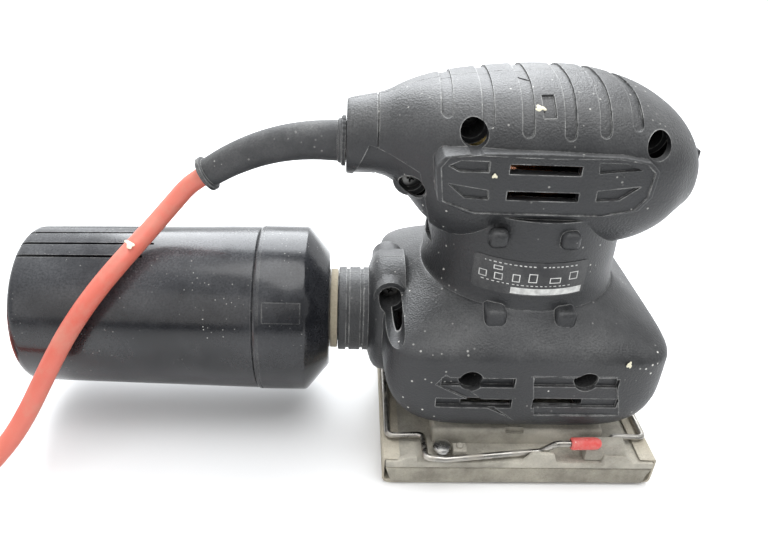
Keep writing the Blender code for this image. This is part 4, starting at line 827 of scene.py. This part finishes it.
charcoal = plastic(
    "charcoal plastic", (0.0115, 0.0122, 0.0135), (0.021, 0.022, 0.0245), (0.38, 0.38, 0.375),
    dust=0.36, patch=24.0, upward=0.9, wear=0.6, specks=0.8, grain=0.30, smooth_by=(0.40, 0.66),
)
bpy.ops.object.select_all(action="DESELECT")
shell.select_set(True)
bpy.context.view_layer.objects.active = shell
bpy.ops.object.duplicate()
other = bpy.context.object
other.name = "housing_left_half"
for half, side, node in ((shell, 1, "housing_right"), (other, -1, "housing_left")):
    near, far = sorted((-side * 0.00015, side * 0.0900))
    carve(half, [block("far_side", (-0.1000, near, 0.0), (0.1000, far, 0.2))])
    rounded(half, 0)
    dress(half, charcoal, "housing", node, slot="housing")

# ---------------------------------------------------------------- housing screws
# Pan-head thread-forming screws of zinc-plated steel with a cross recess. Each lies at the
# bottom of its own well in the right half and bites in the left half.


def cross_screw(name, radius, shank, head_height, length):
    """A screw along +Z with its head's underside at the origin and a cross in its top."""
    profile = [
        (0.0, -length), (shank * 0.5, -length), (shank, -length + shank), (shank, 0.0), (radius, 0.0),
        (radius, head_height * 0.45), (radius * 0.86, head_height * 0.8), (radius * 0.5, head_height),
        (0.0, head_height),
    ]
    made = spun(name, profile, "Z", (0, 0, 0), 48)
    arm, blade = radius * 0.52, 0.00042
    cross = []
    for wide, deep in ((arm, blade), (blade, arm)):
        tool = block("cross", (-wide, -deep, head_height * 0.30), (wide, deep, head_height + 0.001))
        for vertex in tool.data.vertices:
            if vertex.co.z < head_height:
                vertex.co.x *= 0.45 if wide > deep else 0.8
                vertex.co.y *= 0.45 if deep > wide else 0.8
        cross.append(tool)
    carve(made, cross, solver="EXACT")
    return rounded(made, 0)


dull_steel = metal(
    "dull dusty steel", (0.10, 0.10, 0.10), (0.24, 0.24, 0.23), (0.5, 0.8), dirt=0.8,
    dirt_colour=(0.16, 0.15, 0.13),
)
pattern = cross_screw("screw_pattern", 0.0035, 0.0015, 0.0025, 0.0250)
for name, (x, z, _) in HOUSING_SCREWS.items():
    screw = pattern.copy()
    screw.data = pattern.data.copy()
    screw.name = name + "_cross"
    bpy.context.scene.collection.objects.link(screw)
    screw.data.transform(
        Matrix.Translation((x, -0.0090, z)) @ Matrix.Rotation(
            math.pi / 2, 4, "X"
        ) @ Matrix.Rotation(x * 40, 4, "Z"),
    )
    dress(screw, dull_steel, "housing", name, slot="steel")
bpy.data.objects.remove(pattern)

# ---------------------------------------------------------------- rating label
# A black foil label stuck round the right of the motor's neck, with a pale strip for a
# hand-written number and a few printed frames. It is plain: it carries no text.
LABEL_LEFT, LABEL_RIGHT, LABEL_LOW, LABEL_HIGH = -0.0225, 0.0172, 0.0738, 0.0870
LABEL_CORNER = 0.0013
NECK_FOOT_Z, NECK_FOOT_RADIUS, NECK_TAPER = 0.0700, 0.0372, 0.0312
outline = []
for x, z, begin_angle in (
    (LABEL_RIGHT - LABEL_CORNER, LABEL_HIGH - LABEL_CORNER, 0),
    (LABEL_LEFT + LABEL_CORNER, LABEL_HIGH - LABEL_CORNER, 90),
    (LABEL_LEFT + LABEL_CORNER, LABEL_LOW + LABEL_CORNER, 180),
    (LABEL_RIGHT - LABEL_CORNER, LABEL_LOW + LABEL_CORNER, 270),
):
    for step in range(5):
        angle = math.radians(begin_angle + 22.5 * step)
        outline.append((x + LABEL_CORNER * math.cos(angle), z + LABEL_CORNER * math.sin(angle)))
label = plate("rating_label", outline, "Y", -0.0400, -0.0398)
bpy.ops.object.select_all(action="DESELECT")
label.select_set(True)
bpy.context.view_layer.objects.active = label
bpy.ops.object.mode_set(mode="EDIT")
for step in range(1, 24):
    bpy.ops.mesh.select_all(action="SELECT")
    x = LABEL_LEFT + (LABEL_RIGHT - LABEL_LEFT) * step / 24
    bpy.ops.mesh.bisect(plane_co=(x, 0, 0), plane_no=(1, 0, 0))
bpy.ops.object.mode_set(mode="OBJECT")
for vertex in label.data.vertices:
    lift = 0.00020 if vertex.co.y < -0.0399 else 0.00002
    reach = NECK_FOOT_RADIUS - (vertex.co.z - NECK_FOOT_Z) * NECK_TAPER + lift
    vertex.co.y = -math.sqrt(reach**2 - vertex.co.x**2)
rounded(label, 0)
foil, tree, shader = finish("black label foil", Roughness=0.38)
spot = put(tree, "TexCoord").outputs["Object"]
where = put(tree, "SeparateXYZ", {0: spot})


def inside(tree, value, low, high):
    above = maths(tree, "GREATER_THAN", value, low)
    return maths(tree, "MULTIPLY", above, maths(tree, "LESS_THAN", value, high))


def panel(x0, x1, z0, z1):
    """A mask of one oblong of the label."""
    return maths(
        tree, "MULTIPLY", inside(tree, where.outputs[0], x0, x1), inside(tree, where.outputs[2], z0, z1),
    )


PALE_STRIP = (-0.0096, 0.0160, 0.0743, 0.0768)
DASHED_LINES = (
    (-0.0190, -0.0020, 0.0852, 0.0856), (0.0000, 0.0135, 0.0852, 0.0856), (-0.0200, 0.0120, 0.0777, 0.0780),
)
EMPTY_FRAMES = (
    (-0.0205, 0.0788, 0.0026, 0.0026), (-0.0155, 0.0788, 0.0028, 0.0026), (-0.0160, 0.0826, 0.0030, 0.0016),
    (-0.0095, 0.0789, 0.0026, 0.0030), (-0.0040, 0.0792, 0.0030, 0.0034), (0.0035, 0.0790, 0.0040, 0.0022),
    (0.0105, 0.0800, 0.0032, 0.0030),
)
FRAME_LINE = 0.0003
ink = panel(*PALE_STRIP)
for edges in DASHED_LINES:
    wave = {"Vector": spot, "Scale": 190.0, "Distortion": 3.0, "Detail Scale": 2.0}
    dashes = maths(tree, "GREATER_THAN", put(tree, "TexWave", wave, bands_direction="X").outputs[1], 0.45)
    ink = maths(tree, "MAXIMUM", ink, maths(tree, "MULTIPLY", panel(*edges), dashes))
for x0, z0, wide, high in EMPTY_FRAMES:
    edge = panel(x0, x0 + wide, z0, z0 + high)
    hole = panel(x0 + FRAME_LINE, x0 + wide - FRAME_LINE, z0 + FRAME_LINE, z0 + high - FRAME_LINE)
    ink = maths(tree, "MAXIMUM", ink, maths(tree, "SUBTRACT", edge, hole))
scuff = grouped(tree, dust_group, Amount=0.6, Patch_Size=60.0, Upward=0.0)
ink = maths(tree, "MULTIPLY", ink, ramp(tree, noise(tree, spot, 500.0), 0.3, 0.6, 0.6, 1.0))
colour = mixed(tree, ink, (0.008, 0.008, 0.010, 1), (0.70, 0.70, 0.68, 1))
tree.links.new(
    mixed(tree, maths(tree, "MULTIPLY", scuff, 0.3), colour, (0.5, 0.5, 0.48, 1)),
    shader.inputs["Base Color"],
)
dress(label, foil, "housing", slot="gloss_black")

# ---------------------------------------------------------------- dust box
# A round canister of glossy black plastic that pushes on the dust port. The cover has the
# spigot, a felt ring seals it, and the bin pulls off the cover to be emptied.
cover_profile = [
    (0.0331, -0.1010), (0.0335, -0.1004), (0.0335, -0.0828), (0.0331, -0.0819), (0.0238, -0.0741),
    (0.0228, -0.0735), (0.0133, -0.0735), (0.0133, -0.0562), (0.0129, -0.0560), (0.0113, -0.0560),
    (0.0113, -0.0757), (0.0215, -0.0761), (0.0313, -0.0834), (0.0313, -0.1010),
]
cover = spun("dust_box_cover_shell", cover_profile, "X", PORT_AXIS, 160)
cuts = []
for x in (-0.0972, -0.0918):
    notch = [(0.0326, x - 0.0010), (0.0326, x + 0.0010), (0.0345, x + 0.0010), (0.0345, x - 0.0010)]
    cuts.append(
        spun("cover_notch", notch, "X", PORT_AXIS, 24, sweep=math.radians(66), start=math.radians(58)),
    )
seam = [(0.0333, -0.0996), (0.0333, -0.0992), (0.0345, -0.0992), (0.0345, -0.0996)]
cuts.append(spun("cover_seam", seam, "X", PORT_AXIS, 96))
carve(cover, cuts)
pad_strip = [(0.0332, -0.0978), (0.0332, -0.0836), (0.0338, -0.0838), (0.0338, -0.0976)]
carve(
    cover,
    [spun("latch_pad", pad_strip, "X", PORT_AXIS, 10, sweep=math.radians(13), start=math.radians(157))],
    "UNION",
)
rounded(cover, 0)
bin_profile = [
    (0.0310, -0.0943), (0.0310, -0.1013), (0.0327, -0.1013), (0.0331, -0.1018), (0.0310, -0.1870),
    (0.0307, -0.1886), (0.0298, -0.1898), (0.0284, -0.1904), (0.0200, -0.1905), (0.0, -0.1905),
    (0.0, -0.1883), (0.0200, -0.1883), (0.0276, -0.1883), (0.0288, -0.1874), (0.0292, -0.1053),
    (0.0292, -0.0943),
]
bin_shell = spun("dust_bin_shell", bin_profile, "X", PORT_AXIS, 160)
cuts = []
for angle, inner_end in ((74, -0.1490), (87, -0.1420), (101, -0.1400), (113, -0.1430)):
    groove = block("bin_groove", (-0.1930, -0.0006, 0.0300), (inner_end, 0.0006, 0.0360))
    groove.data.transform(Matrix.Translation(PORT_AXIS) @ Matrix.Rotation(math.radians(angle - 90), 4, "X"))
    cuts.append(groove)
carve(bin_shell, cuts)
rounded(bin_shell, 0)
gloss = plastic(
    "gloss black plastic", (0.003, 0.0033, 0.005), (0.005, 0.0058, 0.009), (0.34, 0.35, 0.37),
    dust=0.30, patch=30.0, upward=0.6, wear=0.25, specks=0.6, grain=0.03, smooth_by=(0.11, 0.5),
    speck_size=700.0,
)
dress(cover, gloss, "dust_cover", "dust_box_cover", slot="gloss_black")
dress(bin_shell, gloss, "bin", "dust_bin", slot="gloss_black")

seal_profile = [
    (0.0136, -0.0732), (0.0160, -0.0732), (0.0163, -0.0728), (0.0163, -0.0706), (0.0161, -0.0703),
    (0.0136, -0.0703),
]
seal = rounded(spun("felt_seal", seal_profile, "X", PORT_AXIS, 96), 0)
felt, tree, shader = finish("beige felt", Roughness=0.95, Sheen_Weight=0.3)
where = put(tree, "TexCoord").outputs["Object"]
fibres = noise(tree, where, 900.0, 4.0, 0.7)
tree.links.new(mixed(tree, fibres, (0.30, 0.25, 0.17, 1), (0.62, 0.55, 0.42, 1)), shader.inputs["Base Color"])
tree.links.new(
    put(tree, "Bump", {"Height": fibres, "Strength": 0.6, "Distance": 0.0004}).outputs[0],
    shader.inputs["Normal"],
)
dress(seal, felt, "dust_cover", "port_seal", slot="felt")

# The filter is a pleated paper cup on a flange inside the cover.
FILTER_STATIONS = (
    (-0.0848, 0.0306), (-0.0868, 0.0306), (-0.0869, 0.0240), (-0.1362, 0.0240), (-0.1368, 0.0232),
    (-0.1368, 0.0020),
)
PLEAT_DEPTH, PLEATS = 0.0016, 30
rings = []
for x, reach in FILTER_STATIONS:
    ring = []
    for step in range(4 * PLEATS):
        fold = PLEAT_DEPTH if 0.010 < reach < 0.030 and step % 4 < 2 else 0.0
        angle = math.tau * step / (4 * PLEATS)
        ring.append((x, (reach - fold) * math.cos(angle), PORT_AXIS[2] + (reach - fold) * math.sin(angle)))
    rings.append(ring)
dust_filter = loft("pleated_filter", rings)
carve(dust_filter, [round_bar("filter_bore", 0.0200, "X", PORT_AXIS, -0.1345, -0.0800, 64)])
rounded(dust_filter, 0)
dress(dust_filter, felt, "dust_cover", "dust_filter", slot="felt")

# ---------------------------------------------------------------- sanding pad
# A cast aluminium platen carries a foam pad under it. The abrasive paper wraps up over the
# platen's front and rear edges, where the wire clamps hold it. All of it is caked in dust.
PAD_HALF_X, PAD_HALF_Y = 0.0509, 0.0560
CLAMP_SCREW_X, CLAMP_SCREW_Y = -0.0296, -0.0510
platen = block(
    "platen_casting", (-PAD_HALF_X, -PAD_HALF_Y, 0.0088), (PAD_HALF_X, PAD_HALF_Y, 0.0117), 0.0005, 2,
)
raised = [block("pedestal", (-0.0330, -0.0460, 0.0100), (0.0330, 0.0460, 0.0188), 0.0012)]
raised.append(round_bar("pad_boss", 0.0160, "Z", (0, 0, 0), 0.0110, 0.0311, 64, 0.0006))
PLATEN_RIBS = (
    (
        "catch", ((-0.0010, 0.0100), (0.0142, 0.0100), (0.0118, 0.0163), (0.0036, 0.0166)), 0.0562, 0.0546,
        0.0003,
    ),
    (
        "ramp", ((-0.0500, 0.0100), (-0.0390, 0.0100), (-0.0392, 0.0136), (-0.0420, 0.0141)), 0.0559,
        0.0535, 0.0003,
    ),
    ("lug", ((0.0300, 0.0100), (0.0440, 0.0100), (0.0420, 0.0128), (0.0385, 0.0150), (0.0310, 0.0150)),
     0.0559, 0.0500, 0.0004),
)
for turn in (1, -1):
    for name, outline, far, near, soft in PLATEN_RIBS:
        placed = [(turn * x, z) for x, z in outline]
        raised.append(plate(name, placed, "Y", *sorted((-turn * far, -turn * near)), soft=soft))
carve(platen, raised, "UNION", "EXACT")
sunk = [
    round_bar("bearing_pocket", 0.0113, "Z", (0, 0, 0), 0.0223, 0.0400, 64),
    round_bar("pin_pass", 0.0055, "Z", (0, 0, 0), 0.0206, 0.0300, 32),
]
for turn in (1, -1):
    sunk.append(
        round_bar(
            "screw_pilot", 0.0018, "Z", (turn * CLAMP_SCREW_X, turn * CLAMP_SCREW_Y, 0), 0.0096, 0.0140, 24,
        ),
    )
    near, far = sorted((-turn * 0.0470, -turn * 0.0445))
    sunk.append(block("pedestal_notch", (-0.0050, near, 0.0170), (0.0020, far, 0.0200)))
carve(platen, sunk, solver="EXACT")
rounded(platen, 0)


def caked(name, dark, light, powder, size, rough=0.9, bump=0.5):
    """A surface under a crust of sanding dust: blotches, grains and dark crumbs."""
    made, tree, shader = finish(name, Roughness=rough)
    where = put(tree, "TexCoord").outputs["Object"]
    blotch = ramp(tree, noise(tree, where, size, 6.0, 0.65), 0.38, 0.66)
    grains = noise(tree, where, 1500.0, 3.0, 0.75)
    colour = mixed(tree, blotch, (*dark, 1), (*light, 1))
    crust = grouped(tree, dust_group, Amount=0.9, Patch_Size=size * 0.8, Upward=0.5)
    colour = mixed(tree, crust, colour, (*powder, 1))
    crumbs = grouped(tree, speck_group, Amount=0.8, Size=520.0)
    colour = mixed(tree, crumbs, colour, (0.52, 0.47, 0.34, 1))
    colour = mixed(tree, ramp(tree, grains, 0.58, 0.75, 0.0, 0.5), colour, (0.16, 0.15, 0.12, 1))
    tree.links.new(colour, shader.inputs["Base Color"])
    height = maths(tree, "ADD", grains, blotch)
    tree.links.new(
        put(tree, "Bump", {"Height": height, "Strength": bump, "Distance": 0.0005}).outputs[0],
        shader.inputs["Normal"],
    )
    return made


dusty_cast = caked(
    "dusty cast aluminium", (0.24, 0.225, 0.19), (0.48, 0.455, 0.39), (0.66, 0.62, 0.53), 60.0, rough=0.75,
    bump=0.45,
)
dusty_foam = caked(
    "dusty grey foam", (0.22, 0.205, 0.17), (0.42, 0.395, 0.33), (0.62, 0.58, 0.48), 80.0, bump=0.9,
)
dusty_paper = caked(
    "brown abrasive paper", (0.36, 0.32, 0.25), (0.54, 0.49, 0.39), (0.70, 0.66, 0.56), 70.0, bump=0.8,
)
dress(platen, dusty_cast, "pad", "platen", slot="aluminium")

FOAM_FOOT_X, FOAM_WAIST_Z = 0.0487, 0.0048
foam = block("foam_cushion", (-PAD_HALF_X, -PAD_HALF_Y, 0.0011), (PAD_HALF_X, PAD_HALF_Y, 0.0085))
for vertex in foam.data.vertices:
    if vertex.co.z < 0.004:
        vertex.co.x *= FOAM_FOOT_X / PAD_HALF_X
bpy.ops.object.mode_set(mode="EDIT")
for z in (0.0030, FOAM_WAIST_Z, 0.0066):
    bpy.ops.mesh.select_all(action="SELECT")
    bpy.ops.mesh.bisect(plane_co=(0, 0, z), plane_no=(0, 0, 1))
bpy.ops.object.mode_set(mode="OBJECT")
for vertex in foam.data.vertices:
    if 0.0026 < vertex.co.z < 0.0070:
        pulled_in = 0.0004 if abs(vertex.co.z - FOAM_WAIST_Z) < 0.001 else 0.0002
        vertex.co.y -= math.copysign(pulled_in, vertex.co.y)
rounded(foam, 0.0006, 3)
dress(foam, dusty_foam, "pad", "foam_pad", slot="foam")

half = [
    (0.0498, 0.0), (0.0512, 0.0008), (0.0519, 0.0022), (0.0520, 0.0060), (0.0520, 0.0122), (0.0515, 0.0128),
    (0.0455, 0.0128), (0.0455, 0.0120), (0.0508, 0.0120), (0.0512, 0.0116), (0.0512, 0.0030),
    (0.0508, 0.0018), (0.0494, 0.0008),
]
sheet = plate("abrasive_sheet", half + [(-x, z) for x, z in reversed(half)], "Y", -0.0550, 0.0550)
rounded(sheet, 0)
dress(sheet, dusty_paper, "pad", "sanding_sheet", slot="paper")

# ---------------------------------------------------------------- wire paper clamps
# One set holds the paper at each end: a zinc bracket on a cross-head screw, a spring-steel
# lever with a red sleeve that hooks behind the catch, and a clamp bar across the paper.


def rounded_path(points, radius, steps=7):
    """The line through points, with each inner corner turned on an arc."""
    points = [Vector(point) for point in points]
    path = [points[0]]
    for before, corner, after in zip(points, points[1:], points[2:]):
        to_before, to_after = (before - corner).normalized(), (after - corner).normalized()
        longest = 0.45 * min((before - corner).length, (after - corner).length)
        back = min(radius / math.tan(to_before.angle(to_after) / 2), longest)
        start, end = corner + to_before * back, corner + to_after * back
        for step in range(steps + 1):
            t = step / steps
            path.append((1 - t) ** 2 * start + 2 * t * (1 - t) * corner + t**2 * end)
    return path + [points[-1]]


WIRE_RADIUS = 0.0012


def wire(name, points, bend):
    """A spring-steel wire 2.4 mm thick, bent cold, as a mesh."""
    made = strand(name, rounded_path(points, bend), WIRE_RADIUS, 4)
    bpy.ops.object.select_all(action="DESELECT")
    made.select_set(True)
    bpy.context.view_layer.objects.active = made
    bpy.ops.object.convert(target="MESH")
    made = bpy.context.object
    outward(made)
    return rounded(made, 0)


wire_steel = metal("dull spring steel", (0.26, 0.25, 0.23), (0.55, 0.53, 0.49), (0.25, 0.55), dirt=0.5)
sleeve_red = plastic(
    "red vinyl sleeve", (0.55, 0.035, 0.03), (0.68, 0.07, 0.06), (0.66, 0.42, 0.38), dust=0.55,
    patch=220.0, upward=0.2, wear=0.3, specks=0.9, grain=0.2, smooth_by=(0.35, 0.7), speck_size=900.0,
)
bracket_zinc = metal(
    "dusty zinc bracket", (0.40, 0.39, 0.37), (0.70, 0.69, 0.66), (0.30, 0.65), dirt=0.5, metallic=0.6,
)
PIVOT_X, PIVOT_Z = 0.0365, 0.0150
for end, turn in (("rear", 1), ("front", -1)):
    half_turn = Matrix.Rotation(0 if turn > 0 else math.pi, 4, "Z")
    bracket = plate("bracket", [
        (-0.0399, 0.0120), (-0.0399, 0.0160), (-0.0392, 0.0174), (-0.0381, 0.0179), (-0.0349, 0.0179),
        (-0.0338, 0.0172),
        (-0.0333, 0.0157), (-0.0330, 0.0138), (-0.0262, 0.0137), (-0.0262, 0.0120)], "Y", -0.0552, -0.0478)
    bracket.name = f"{end}_bracket_plate"
    carve(bracket, [
        round_bar("pivot_bore", 0.0015, "Y", (-PIVOT_X, 0, PIVOT_Z), -0.0600, -0.0400, 24),
        round_bar("screw_bore", 0.0018, "Z", (CLAMP_SCREW_X, CLAMP_SCREW_Y, 0), 0.0100, 0.0200, 24),
    ], solver="EXACT")
    rounded(bracket, 0.0003, 2)
    nut = block(f"{end}_stop_block", (-0.0258, -0.0545, 0.0119), (-0.0208, -0.0500, 0.0160), 0.0004)
    carve(
        nut, [round_bar("nut_pin", 0.0012, "Z", (-0.0233, -0.0522, 0), 0.0150, 0.0172, 24, 0.0004)],
        "UNION", "EXACT",
    )
    rounded(nut, 0)
    screw = cross_screw(f"{end}_bracket_cross_screw", 0.0035, 0.0015, 0.0021, 0.0042)
    screw.data.transform(
        Matrix.Translation((CLAMP_SCREW_X, CLAMP_SCREW_Y, 0.0141)) @ Matrix.Rotation(0.5, 4, "Z"),
    )
    lever = wire(f"{end}_lever_wire", [
        (-PIVOT_X, -0.0513, PIVOT_Z), (-PIVOT_X, -0.0569, PIVOT_Z), (-0.0290, -0.0569, 0.0142),
        (-0.0010, -0.0530, 0.0137),
        (0.0075, -0.0530, 0.0147), (0.0120, -0.0545, 0.0202), (0.0285, -0.0545, 0.0205)], 0.0030)
    rings = []
    for along, reach in (
        (0.0, 0.0019), (0.0005, 0.0023), (0.0085, 0.0023), (0.0100, 0.0021), (0.0112, 0.0014)
    ):
        ring = [
            (0.0175 + along, -0.0545 + a, 0.0203 + along * 0.027 + b) for a, b in oval(reach, reach, 2, 32)
        ]
        rings.append(ring)
    sleeve = loft(f"{end}_lever_sleeve", rings)
    carve(
        sleeve, [round_bar("sleeve_bore", 0.00135, "X", (0, -0.0545, 0.02045), 0.0165, 0.0286, 24)],
        solver="EXACT",
    )
    rounded(sleeve, 0)
    bar = wire(f"{end}_clamp_wire", [
        (-PIVOT_X, -0.0507, PIVOT_Z), (-PIVOT_X, -0.0450, PIVOT_Z), (-0.0500, -0.0450, 0.0143),
        (-0.0500, 0.0450, 0.0143),
        (-PIVOT_X, 0.0450, PIVOT_Z), (-PIVOT_X, 0.0530, PIVOT_Z)], 0.0026)
    keeper = block(f"{end}_bar_keeper", (-0.0399, 0.0478, 0.0120), (-0.0240, 0.0550, 0.0178), 0.0006)
    carve(
        keeper, [round_bar("keeper_bore", 0.0015, "Y", (-PIVOT_X, 0, PIVOT_Z), 0.0440, 0.0536, 24)],
        solver="EXACT",
    )
    rounded(keeper, 0)
    for piece, material, body, replaced, slot in (
        (bracket, bracket_zinc, "pad", f"{end}_clamp_bracket", "steel"),
        (nut, dusty_cast, "pad", None, "aluminium"),
        (screw, plated, "pad", f"{end}_bracket_screw", "steel"),
        (lever, wire_steel, f"{end}_lever", f"{end}_clamp_lever", "steel"),
        (sleeve, sleeve_red, f"{end}_lever", f"{end}_lever_grip", "red_sleeve"),
        (bar, wire_steel, f"{end}_bar", f"{end}_clamp_bar", "steel"),
        (keeper, dusty_cast, "pad", f"{end}_pivot_block", "aluminium"),
    ):
        piece.data.transform(half_turn)
        dress(piece, material, body, *([replaced] if replaced else []), slot=slot)

# ---------------------------------------------------------------- cord tie
# A thin strip of black vinyl is wrapped once round the coil's turns and pressed shut. It
# keeps the coil together on the table.
TIE_SECTION = (
    (0.0262, 0.00004), (0.0262, 0.0066), (0.0270, 0.0073), (0.0285, 0.0075), (0.0715, 0.0075), (0.0731, 0.0073),
    (0.0739, 0.0066), (0.0739, 0.00004), (0.0736, 0.00008), (0.0736, 0.0062), (0.0728, 0.0069), (0.0714, 0.0071),
    (0.0286, 0.0071), (0.0272, 0.0069), (0.0265, 0.0062), (0.0265, 0.00008),
)
TIE_HALF_WIDE = 0.0040
rings = [[(along, side, height) for along, height in TIE_SECTION] for side in (-TIE_HALF_WIDE, TIE_HALF_WIDE)]
tie = loft("cord_tie", rings)
tie.data.transform(Matrix.Translation(COIL_CENTRE) @ Matrix.Rotation(math.radians(-30), 4, "Z"))
dress(rounded(tie, 0), rubber, "housing", slot="soft_black")

# ---------------------------------------------------------------- power switch
# A rocker in a snap-in frame at the grip's front, with its contact block behind it. The
# rocker is plain red plastic and carries no marking.
SWITCH_X, SWITCH_Z = 0.0555, 0.1095
bezel = block("switch_bezel", (0.0530, -0.0085, 0.1003), (0.0588, 0.0085, 0.1187), 0.0006)
carve(bezel, [block("bezel_hole", (0.0500, -0.0072, 0.1016), (0.0620, 0.0072, 0.1174))], solver="EXACT")
rounded(bezel, 0.0002, 2)
contact_block = block("contact_block", (0.0365, -0.0095, 0.1000), (0.0510, 0.0095, 0.1190), 0.0006)
blades = []
for z in (0.1035, 0.1095, 0.1155):
    blades.append(block("contact_blade", (0.0322, -0.0031, z - 0.0004), (0.0370, 0.0031, z + 0.0004), 0.0002))
carve(contact_block, blades, "UNION", "EXACT")
rounded(contact_block, 0)
outline = [
    (SWITCH_X - 0.0012, SWITCH_Z - 0.0055), (SWITCH_X + 0.0040, SWITCH_Z - 0.0064),
    (SWITCH_X + 0.0048, SWITCH_Z - 0.0060), (SWITCH_X + 0.0036, SWITCH_Z - 0.0010),
    (SWITCH_X + 0.0031, SWITCH_Z + 0.0020), (SWITCH_X + 0.0025, SWITCH_Z + 0.0060),
    (SWITCH_X + 0.0018, SWITCH_Z + 0.0064), (SWITCH_X - 0.0018, SWITCH_Z + 0.0055),
    (SWITCH_X - 0.0018, SWITCH_Z + 0.0015), (SWITCH_X - 0.0026, SWITCH_Z),
    (SWITCH_X - 0.0018, SWITCH_Z - 0.0015),
]
rocker = plate("rocker_key", outline, "Y", -0.0069, 0.0069, 0.0004)
bezel_black = plastic(
    "satin black plastic", (0.012, 0.012, 0.014), (0.020, 0.020, 0.023), (0.36, 0.36, 0.36), dust=0.35,
    patch=90.0, upward=0.5, wear=0.3, specks=0.5, grain=0.05, smooth_by=(0.3, 0.6),
)
rocker_red = plastic(
    "red rocker plastic", (0.42, 0.02, 0.018), (0.50, 0.03, 0.025), (0.55, 0.40, 0.36), dust=0.35,
    patch=120.0, upward=0.4, wear=0.2, specks=0.5, grain=0.03, smooth_by=(0.2, 0.5),
)
dress(bezel, bezel_black, "housing", "switch_frame", slot="gloss_black")
dress(contact_block, bezel_black, "housing", "switch_body", slot="gloss_black")
dress(rocker, rocker_red, "rocker", "switch_rocker", slot="red_sleeve")

# ---------------------------------------------------------------- rubber legs
# Four posts of soft black rubber carry the pad under the housing and let it orbit. Each
# narrows above its foot, and is pressed into a socket of the housing.
for index, (x, y) in enumerate(LEG_PLACES, 1):
    profile = [
        (0.0, 0.0191), (0.0054, 0.0191), (0.0058, 0.0196), (0.0057, 0.0206), (0.0045, 0.0220),
        (0.0042, 0.0236), (0.0042, 0.0300), (0.0045, 0.0318), (0.0056, 0.0340), (0.0058, 0.0352),
        (0.0058, 0.0415), (0.0053, 0.0420), (0.0, 0.0420),
    ]
    leg = rounded(spun(f"rubber_post_{index}", profile, "Z", (x, y, 0), 48), 0)
    dress(leg, rubber, "housing", f"rubber_leg_{index}", slot="soft_black")

# ---------------------------------------------------------------- motor inside
# The motor's own solids show only through the vents. Each gets its real finish: laminated
# iron, enamelled copper, carbon, brass, ground steel and the black fan.
iron = metal("laminated iron", (0.14, 0.14, 0.15), (0.30, 0.30, 0.31), (0.4, 0.7), dirt=0.4)
tree = iron.node_tree
where = put(tree, "TexCoord").outputs["Object"]
plies = put(tree, "TexWave", {"Vector": where, "Scale": 400.0}, bands_direction="Z").outputs[1]
pressed = put(tree, "Bump", {"Height": plies, "Strength": 0.5, "Distance": 0.0002}).outputs[0]
tree.links.new(pressed, tree.nodes["Principled BSDF"].inputs["Normal"])
copper = metal(
    "enamelled copper", (0.42, 0.13, 0.045), (0.62, 0.24, 0.09), (0.25, 0.5), dirt=0.3, scratch=700.0,
)
carbon = metal("brush carbon", (0.02, 0.02, 0.02), (0.05, 0.05, 0.05), (0.5, 0.7), dirt=0.1, metallic=0.1)
brass = metal("brass", (0.45, 0.32, 0.11), (0.66, 0.49, 0.20), (0.25, 0.5), dirt=0.25)
ground_steel = metal("ground steel", (0.38, 0.38, 0.38), (0.62, 0.62, 0.61), (0.16, 0.4), dirt=0.15)
for names, material in (
    ("stator_core armature_core", iron),
    ("field_coil_right field_coil_left armature_winding_lower armature_winding_upper commutator", copper),
    ("carbon_brush_rear carbon_brush_front", carbon), ("brush_holder_rear brush_holder_front", brass),
    (
        "brush_spring_rear brush_spring_front lower_bearing upper_bearing "
        "motor_shaft eccentric_counterweight pad_bearing",
        ground_steel,
    ),
    ("fan", bezel_black),
):
    for name in names.split():
        node = nodes[name]
        if not node.material_slots:
            node.data.materials.append(material)
        for slot in node.material_slots:
            slot.material = material

# ---------------------------------------------------------------- dried paint and scraps
# Flecks of dried cream paint stuck to the grip, neck and skirt, and a scrap of tape left
# on the cord. Each is a thin flake that sits in the surface under it.
cream, tree, shader = finish("dried cream paint", Roughness=0.6)
where = put(tree, "TexCoord").outputs["Object"]
clots = noise(tree, where, 800.0, 3.0)
tree.links.new(mixed(tree, clots, (0.66, 0.61, 0.42, 1), (0.88, 0.85, 0.70, 1)), shader.inputs["Base Color"])
tree.links.new(
    put(tree, "Bump", {"Height": clots, "Strength": 0.5, "Distance": 0.0003}).outputs[0],
    shader.inputs["Normal"],
)


FLAKE_HEIGHT = 0.00035


def flake(name, place, facing, wide, high, seed):
    """A thin uneven drop on a surface that faces the given way."""
    bpy.ops.mesh.primitive_uv_sphere_add(segments=24, ring_count=12, radius=1.0)
    made = bpy.context.object
    made.name = name
    turn = Vector(facing).to_track_quat("Z", "Y").to_matrix().to_4x4()
    for vertex in made.data.vertices:
        angle = math.atan2(vertex.co.y, vertex.co.x)
        edge = 1 + 0.22 * math.sin(3 * angle + seed) + 0.12 * math.sin(5 * angle + 2 * seed)
        vertex.co = (vertex.co.x * wide * edge, vertex.co.y * high * edge, vertex.co.z * FLAKE_HEIGHT)
    made.data.transform(Matrix.Translation(place) @ turn)
    return dress(rounded(made, 0), cream, "housing", slot="felt")


flake("paint_fleck_neck", (0.0155, -0.0334, 0.0640), (0.38, -0.85, 0.36), 0.0019, 0.0026, 1.0)
flake("paint_fleck_grip", (-0.0066, -0.0250, 0.1368), (0.0, -0.62, 0.78), 0.0017, 0.0012, 2.0)
flake("paint_fleck_panel", (-0.0207, -0.0362, 0.1180), (0.0, -1.0, 0.1), 0.0009, 0.0007, 3.0)
flake("paint_fleck_skirt", (0.0330, -0.0506, 0.0545), (0.0, -1.0, 0.1), 0.0009, 0.0012, 4.0)
flake("tape_scrap_on_cord", (-0.1455, -0.0168, 0.0794), (-0.45, -0.35, 0.82), 0.0032, 0.0013, 5.0)
